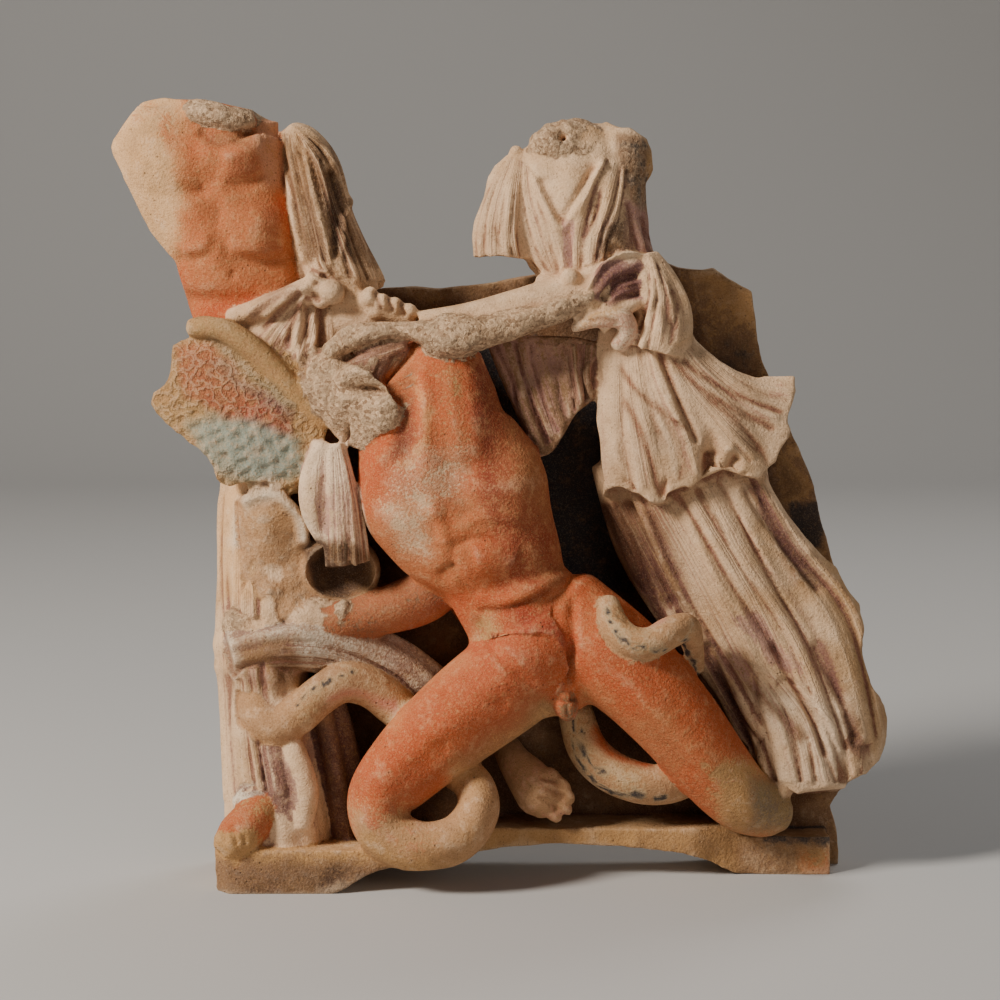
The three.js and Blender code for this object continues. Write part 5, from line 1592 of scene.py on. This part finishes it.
class Finish:
    """A material whose nodes are added by name, with settings first and then the values of its sockets."""

    def __init__(self, name):
        self.material = bpy.data.materials.new(name)
        self.material.use_nodes = True
        self.tree = self.material.node_tree
        self.shader = self.tree.nodes["Principled BSDF"]

    def node(self, kind, values=(), out=0, **settings):
        node = self.tree.nodes.new(kind)
        for key, value in settings.items():
            setattr(node, key, value)
        pairs = values.items() if isinstance(values, dict) else enumerate(values)
        for key, value in pairs:
            self.put(node.inputs[key], value)
        return Wire(self, node.outputs[out])

    def put(self, socket, value):
        if isinstance(value, Wire):
            self.tree.links.new(value.socket, socket)
        elif isinstance(value, (tuple, list, np.ndarray)) and socket.type == "RGBA":
            socket.default_value = (*[float(v) for v in value[:3]], 1)
        else:
            socket.default_value = value

    def colour_on(self, name):
        return self.node("ShaderNodeAttribute", attribute_name=name)

    def value_on(self, name):
        return self.node("ShaderNodeAttribute", attribute_name=name, out=2)

    def noise(self, place, scale, detail=4.0, roughness=0.55):
        """Lumpy noise, with more detail for a more ragged look."""
        return self.node("ShaderNodeTexNoise",
                         {"Vector": place, "Scale": scale, "Detail": detail, "Roughness": roughness})

    def step(self, value, low, high):
        """0 below low and 1 above high, with an S curve between them."""
        return self.node("ShaderNodeMapRange", {"Value": value, "From Min": low, "From Max": high},
                         interpolation_type="SMOOTHSTEP")

    def mix(self, share, a, b, blend="MIX"):
        """Colour a turned into colour b by share."""
        return self.node("ShaderNodeMix", {0: share, 6: a, 7: b}, out=2, data_type="RGBA", blend_type=blend,
                         clamp_factor=True)


# %% [markdown]
# ## Mixing the finish
# From the inside out: bare clay with grog, what is left of the paint, broken core, dirt and painted shade,
# rubbed ridges with a painted highlight, soot and painted shade, and last specks and pits. Each layer is laid
# over the one before it, as on the real piece.

# %% Terracotta
f = Finish("painted_terracotta")
place = f.node("ShaderNodeTexCoord", out=3)
broad, middle, fine = f.noise(place, 26, 3), f.noise(place, 120, 4, 0.68), f.noise(place, 560, 2, 0.6)
patches, grit = f.noise(place, 9, 3, 0.6), f.noise(place, 1150, 2, 0.7)
worn_w, rough_w, soot_and_shade_w, hollow_w = [f.value_on(n) for n in ("worn", "rough", "soot", "hollow")]
paint_w, clay_w = f.colour_on("paint"), f.colour_on("clay")
curls = f.node("ShaderNodeTexVoronoi", {"Vector": place, "Scale": 115.0})
commas = f.node("ShaderNodeMath", [curls * 11 + middle * 17], operation="SINE") * f.value_on("plumes")
grog = f.node("ShaderNodeTexVoronoi", {"Vector": place, "Scale": 520.0})
grog_dot = f.node("ShaderNodeSeparateColor", [grog.beside("Color")])
pits = f.node("ShaderNodeTexVoronoi", {"Vector": place, "Scale": 190.0})

streak = f.node("ShaderNodeTexNoise", noise_dimensions="1D", values={
    "W": f.value_on("strand") * 4 + middle * 0.9, "Scale": 1.0, "Detail": 2.0, "Roughness": 0.6})
streaks = (streak - 0.5) * f.value_on("folded")
flake = broad * 0.3 + middle * 0.4 + fine * 0.3
left = 1 - f.step(worn_w - (flake - 0.5) * 2.4 - streaks * 0.9, 0.4, 0.66)
bare = f.mix(f.step(broad, 0.4, 0.7) * 0.5, clay_w, COLOURS["ochre"])
bare = f.mix(f.step(patches, 0.45, 0.68) * 0.35, bare, COLOURS["brown"])
bare = f.mix(f.step(middle, 0.5, 0.72) * 0.4, bare, COLOURS["pale"])
bare = f.mix(f.step(middle, 0.5, 0.3) * 0.3, bare, COLOURS["brown"])
rubbed_paint = f.mix(f.step(middle, 0.48, 0.68) * 0.4, paint_w, clay_w)
yellowed = f.mix(0.55, rubbed_paint, COLOURS["ochre"])
rubbed_paint = f.mix(f.step(patches, 0.46, 0.6) * 0.6, rubbed_paint, yellowed)
darkened = f.mix(0.35, rubbed_paint, COLOURS["purple"])
rubbed_paint = f.mix(f.step(patches, 0.5, 0.36) * 0.4, rubbed_paint, darkened)
reddened = f.mix(0.5, paint_w, COLOURS["deep_red"], "MULTIPLY")
rubbed_paint = f.mix(f.step(broad, 0.5, 0.3) * 0.35, rubbed_paint, reddened)
rubbed_paint = f.mix(f.step(fine, 0.52, 0.68) * 0.35, rubbed_paint, COLOURS["ochre"])
colour = f.mix(left * (0.96 - 0.4 * worn_w), bare, rubbed_paint)
core = f.mix(grog_dot, COLOURS["brown"], COLOURS["cream"])
core = f.mix(f.step(middle, 0.35, 0.65) * 0.35, core, COLOURS["grey_brown"])
colour = f.mix(f.step(rough_w + (middle - 0.5) * 0.6, 0.4, 0.7) * 0.8, colour, core)
colour = f.mix(f.step(streaks, 0.03, 0.22) * 0.5, colour, f.mix(0.6, colour, COLOURS["pink"] * 0.6))
colour = f.mix(f.step(0 - streaks, 0.05, 0.22) * 0.25, colour, COLOURS["pale"])
# Hollows, creases and fold valleys darken here: dirt, and painted shade.
dirt_and_shade = f.step(hollow_w + (middle - 0.5) * 0.8 + (patches - 0.5) * 0.5, 0.05, 0.7)
earth_and_shade = f.mix(0.3, COLOURS["brown"], COLOURS["mauve"])
colour = f.mix(dirt_and_shade * 0.8, colour, f.mix(0.8, colour, earth_and_shade, "MULTIPLY"))
# The deepest hollows turn dark brown: painted shade and dirt.
colour = f.mix(f.step(hollow_w + (middle - 0.5) * 0.5, 0.7, 1.2) * 0.5, colour, COLOURS["dark_brown"] * 0.6)
# Ridges turn pale: rubbed wear, and a painted highlight.
rubbed_and_highlight = f.step((0 - hollow_w) + (middle - 0.5) * 0.8, 0.2, 0.9)
colour = f.mix(rubbed_and_highlight * 0.3, colour, COLOURS["pale"])
# Dark patches from this mask: soot stains, the snakes' spots, and painted shade in recesses and gaps.
sooty_and_shaded = f.step(soot_and_shade_w + (middle - 0.5) * 1.3 + (fine - 0.5) * 0.5, 0.35, 0.85)
colour = f.mix(sooty_and_shaded * 0.85, colour, COLOURS["soot"] * 0.7)
colour = f.mix(f.step(commas, 0.2, 1.0) * 0.18, colour, COLOURS["pale"])
colour = f.mix(f.step(grit, 0.52, 0.68) * 0.22, colour, f.mix(0.5, clay_w, COLOURS["pale"]))
colour = f.mix(f.step(grit, 0.48, 0.32) * 0.5, colour, f.mix(0.6, colour, COLOURS["brown"], "MULTIPLY"))
speck = (1 - f.step(grog, 0.12, 0.32)) * f.step(grog_dot, 0.72, 0.9)
pit = (1 - f.step(pits, 0.05, 0.17)) * f.step(broad, 0.5, 0.62)
colour = f.mix(speck * 0.5 + pit * 0.65, colour, COLOURS["dark_brown"] * 0.7)
f.put(f.shader.inputs["Base Color"], colour)
f.put(f.shader.inputs["Roughness"], fine * 0.2 + 0.76)
f.shader.inputs["Specular IOR Level"].default_value = 0.22
grain = (fine - 0.5) * 1.1 + (middle - 0.5) * 1.2 - pit * 0.8 + commas * 0.7 - streaks * 1.7
crumbs = rough_w * (middle - 0.5) * 3.2
bump = f.node("ShaderNodeBump", {"Height": grain + crumbs, "Strength": 0.6, "Distance": 0.0011})
f.put(f.shader.inputs["Normal"], bump)
surface.materials.clear()
surface.materials.append(f.material)
print("finish has", len(f.tree.nodes), "nodes")

# %% [markdown]
# ## Handing it over
# The relief is one piece of clay, so it rides on one body and takes the place of the measured model's one
# solid. It wears one finish, because paint and clay are one skin.

# %% Hand the piece over
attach(relief, "root")
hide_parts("relief")


# %% [markdown]
# ## The stage
# A seamless sweep of paper has no corner that could take the eye away from the piece. A fairly small soft
# light from the upper left makes shadows in the folds, and a weak one from the right opens them. The camera
# stands where the photograph was taken from.

# %% Floor, lights and camera
def backdrop():
    """A floor that bends up into a wall: straight, a quarter circle, straight, swept sideways."""
    bend = np.radians(np.linspace(0, 90, 24))
    y = np.concatenate([[-6.0], 2.2 + 1.2 * np.sin(bend), [3.4]])
    z = np.concatenate([[0.0], 1.2 - 1.2 * np.cos(bend), [6.0]])
    x = np.array([-7.0, 7.0])
    grid = np.stack([np.repeat(x[None], len(y), 0), np.repeat(y[:, None], 2, 1),
                     np.repeat(z[:, None], 2, 1)], -1)
    k = np.arange(len(y) - 1) * 2
    mesh = mesh_of("backdrop", grid.reshape(-1, 3), np.stack([k, k + 1, k + 3, k + 2], -1).tolist())
    mesh.polygons.foreach_set("use_smooth", np.ones(len(mesh.polygons), bool))
    return bpy.data.objects.new("backdrop", mesh)


floor = backdrop()
bpy.context.scene.collection.objects.link(floor)
paper = bpy.data.materials.new("backdrop_paper")
paper.use_nodes = True
paper.node_tree.nodes["Principled BSDF"].inputs["Base Color"].default_value = (0.52, 0.52, 0.52, 1)
paper.node_tree.nodes["Principled BSDF"].inputs["Roughness"].default_value = 0.9
floor.data.materials.append(paper)


def soft_light(name, place, aim, size, power, colour):
    """An area light at place, turned towards aim."""
    data = bpy.data.lights.new(name, "AREA")
    data.shape, data.size, data.energy, data.color = "DISK", size, power, colour
    light = bpy.data.objects.new(name, data)
    light.location, light.visible_camera = place, False
    light.rotation_euler = (Vector(aim) - Vector(place)).to_track_quat("-Z", "Y").to_euler()
    bpy.context.scene.collection.objects.link(light)


soft_light("key", (-2.0, -1.35, 1.75), (0, 0, 0.28), 0.7, 118, (1.0, 0.92, 0.82))
soft_light("fill", (1.5, -2.4, 1.0), (0, 0, 0.25), 1.8, 9, (1.0, 0.95, 0.9))
soft_light("rim", (0.9, 1.3, 2.0), (0, 0.2, 0.25), 1.0, 14, (1.0, 0.97, 0.93))
world = bpy.data.worlds.new("studio")
world.use_nodes = True
world.node_tree.nodes["Background"].inputs["Color"].default_value = (0.8, 0.79, 0.78, 1)
world.node_tree.nodes["Background"].inputs["Strength"].default_value = 0.08
bpy.context.scene.world = world

lens = bpy.data.cameras.new("camera")
lens.lens, lens.sensor_width, lens.dof.use_dof = 93.6, 36.0, False
camera = bpy.data.objects.new("camera", lens)
camera.location = (EYE * SQUARE + SHIFT).tolist()
camera.rotation_euler = (math.radians(83), 0, 0)
bpy.context.scene.collection.objects.link(camera)
bpy.context.scene.camera = camera
print("camera at", np.round(EYE * SQUARE + SHIFT, 4))
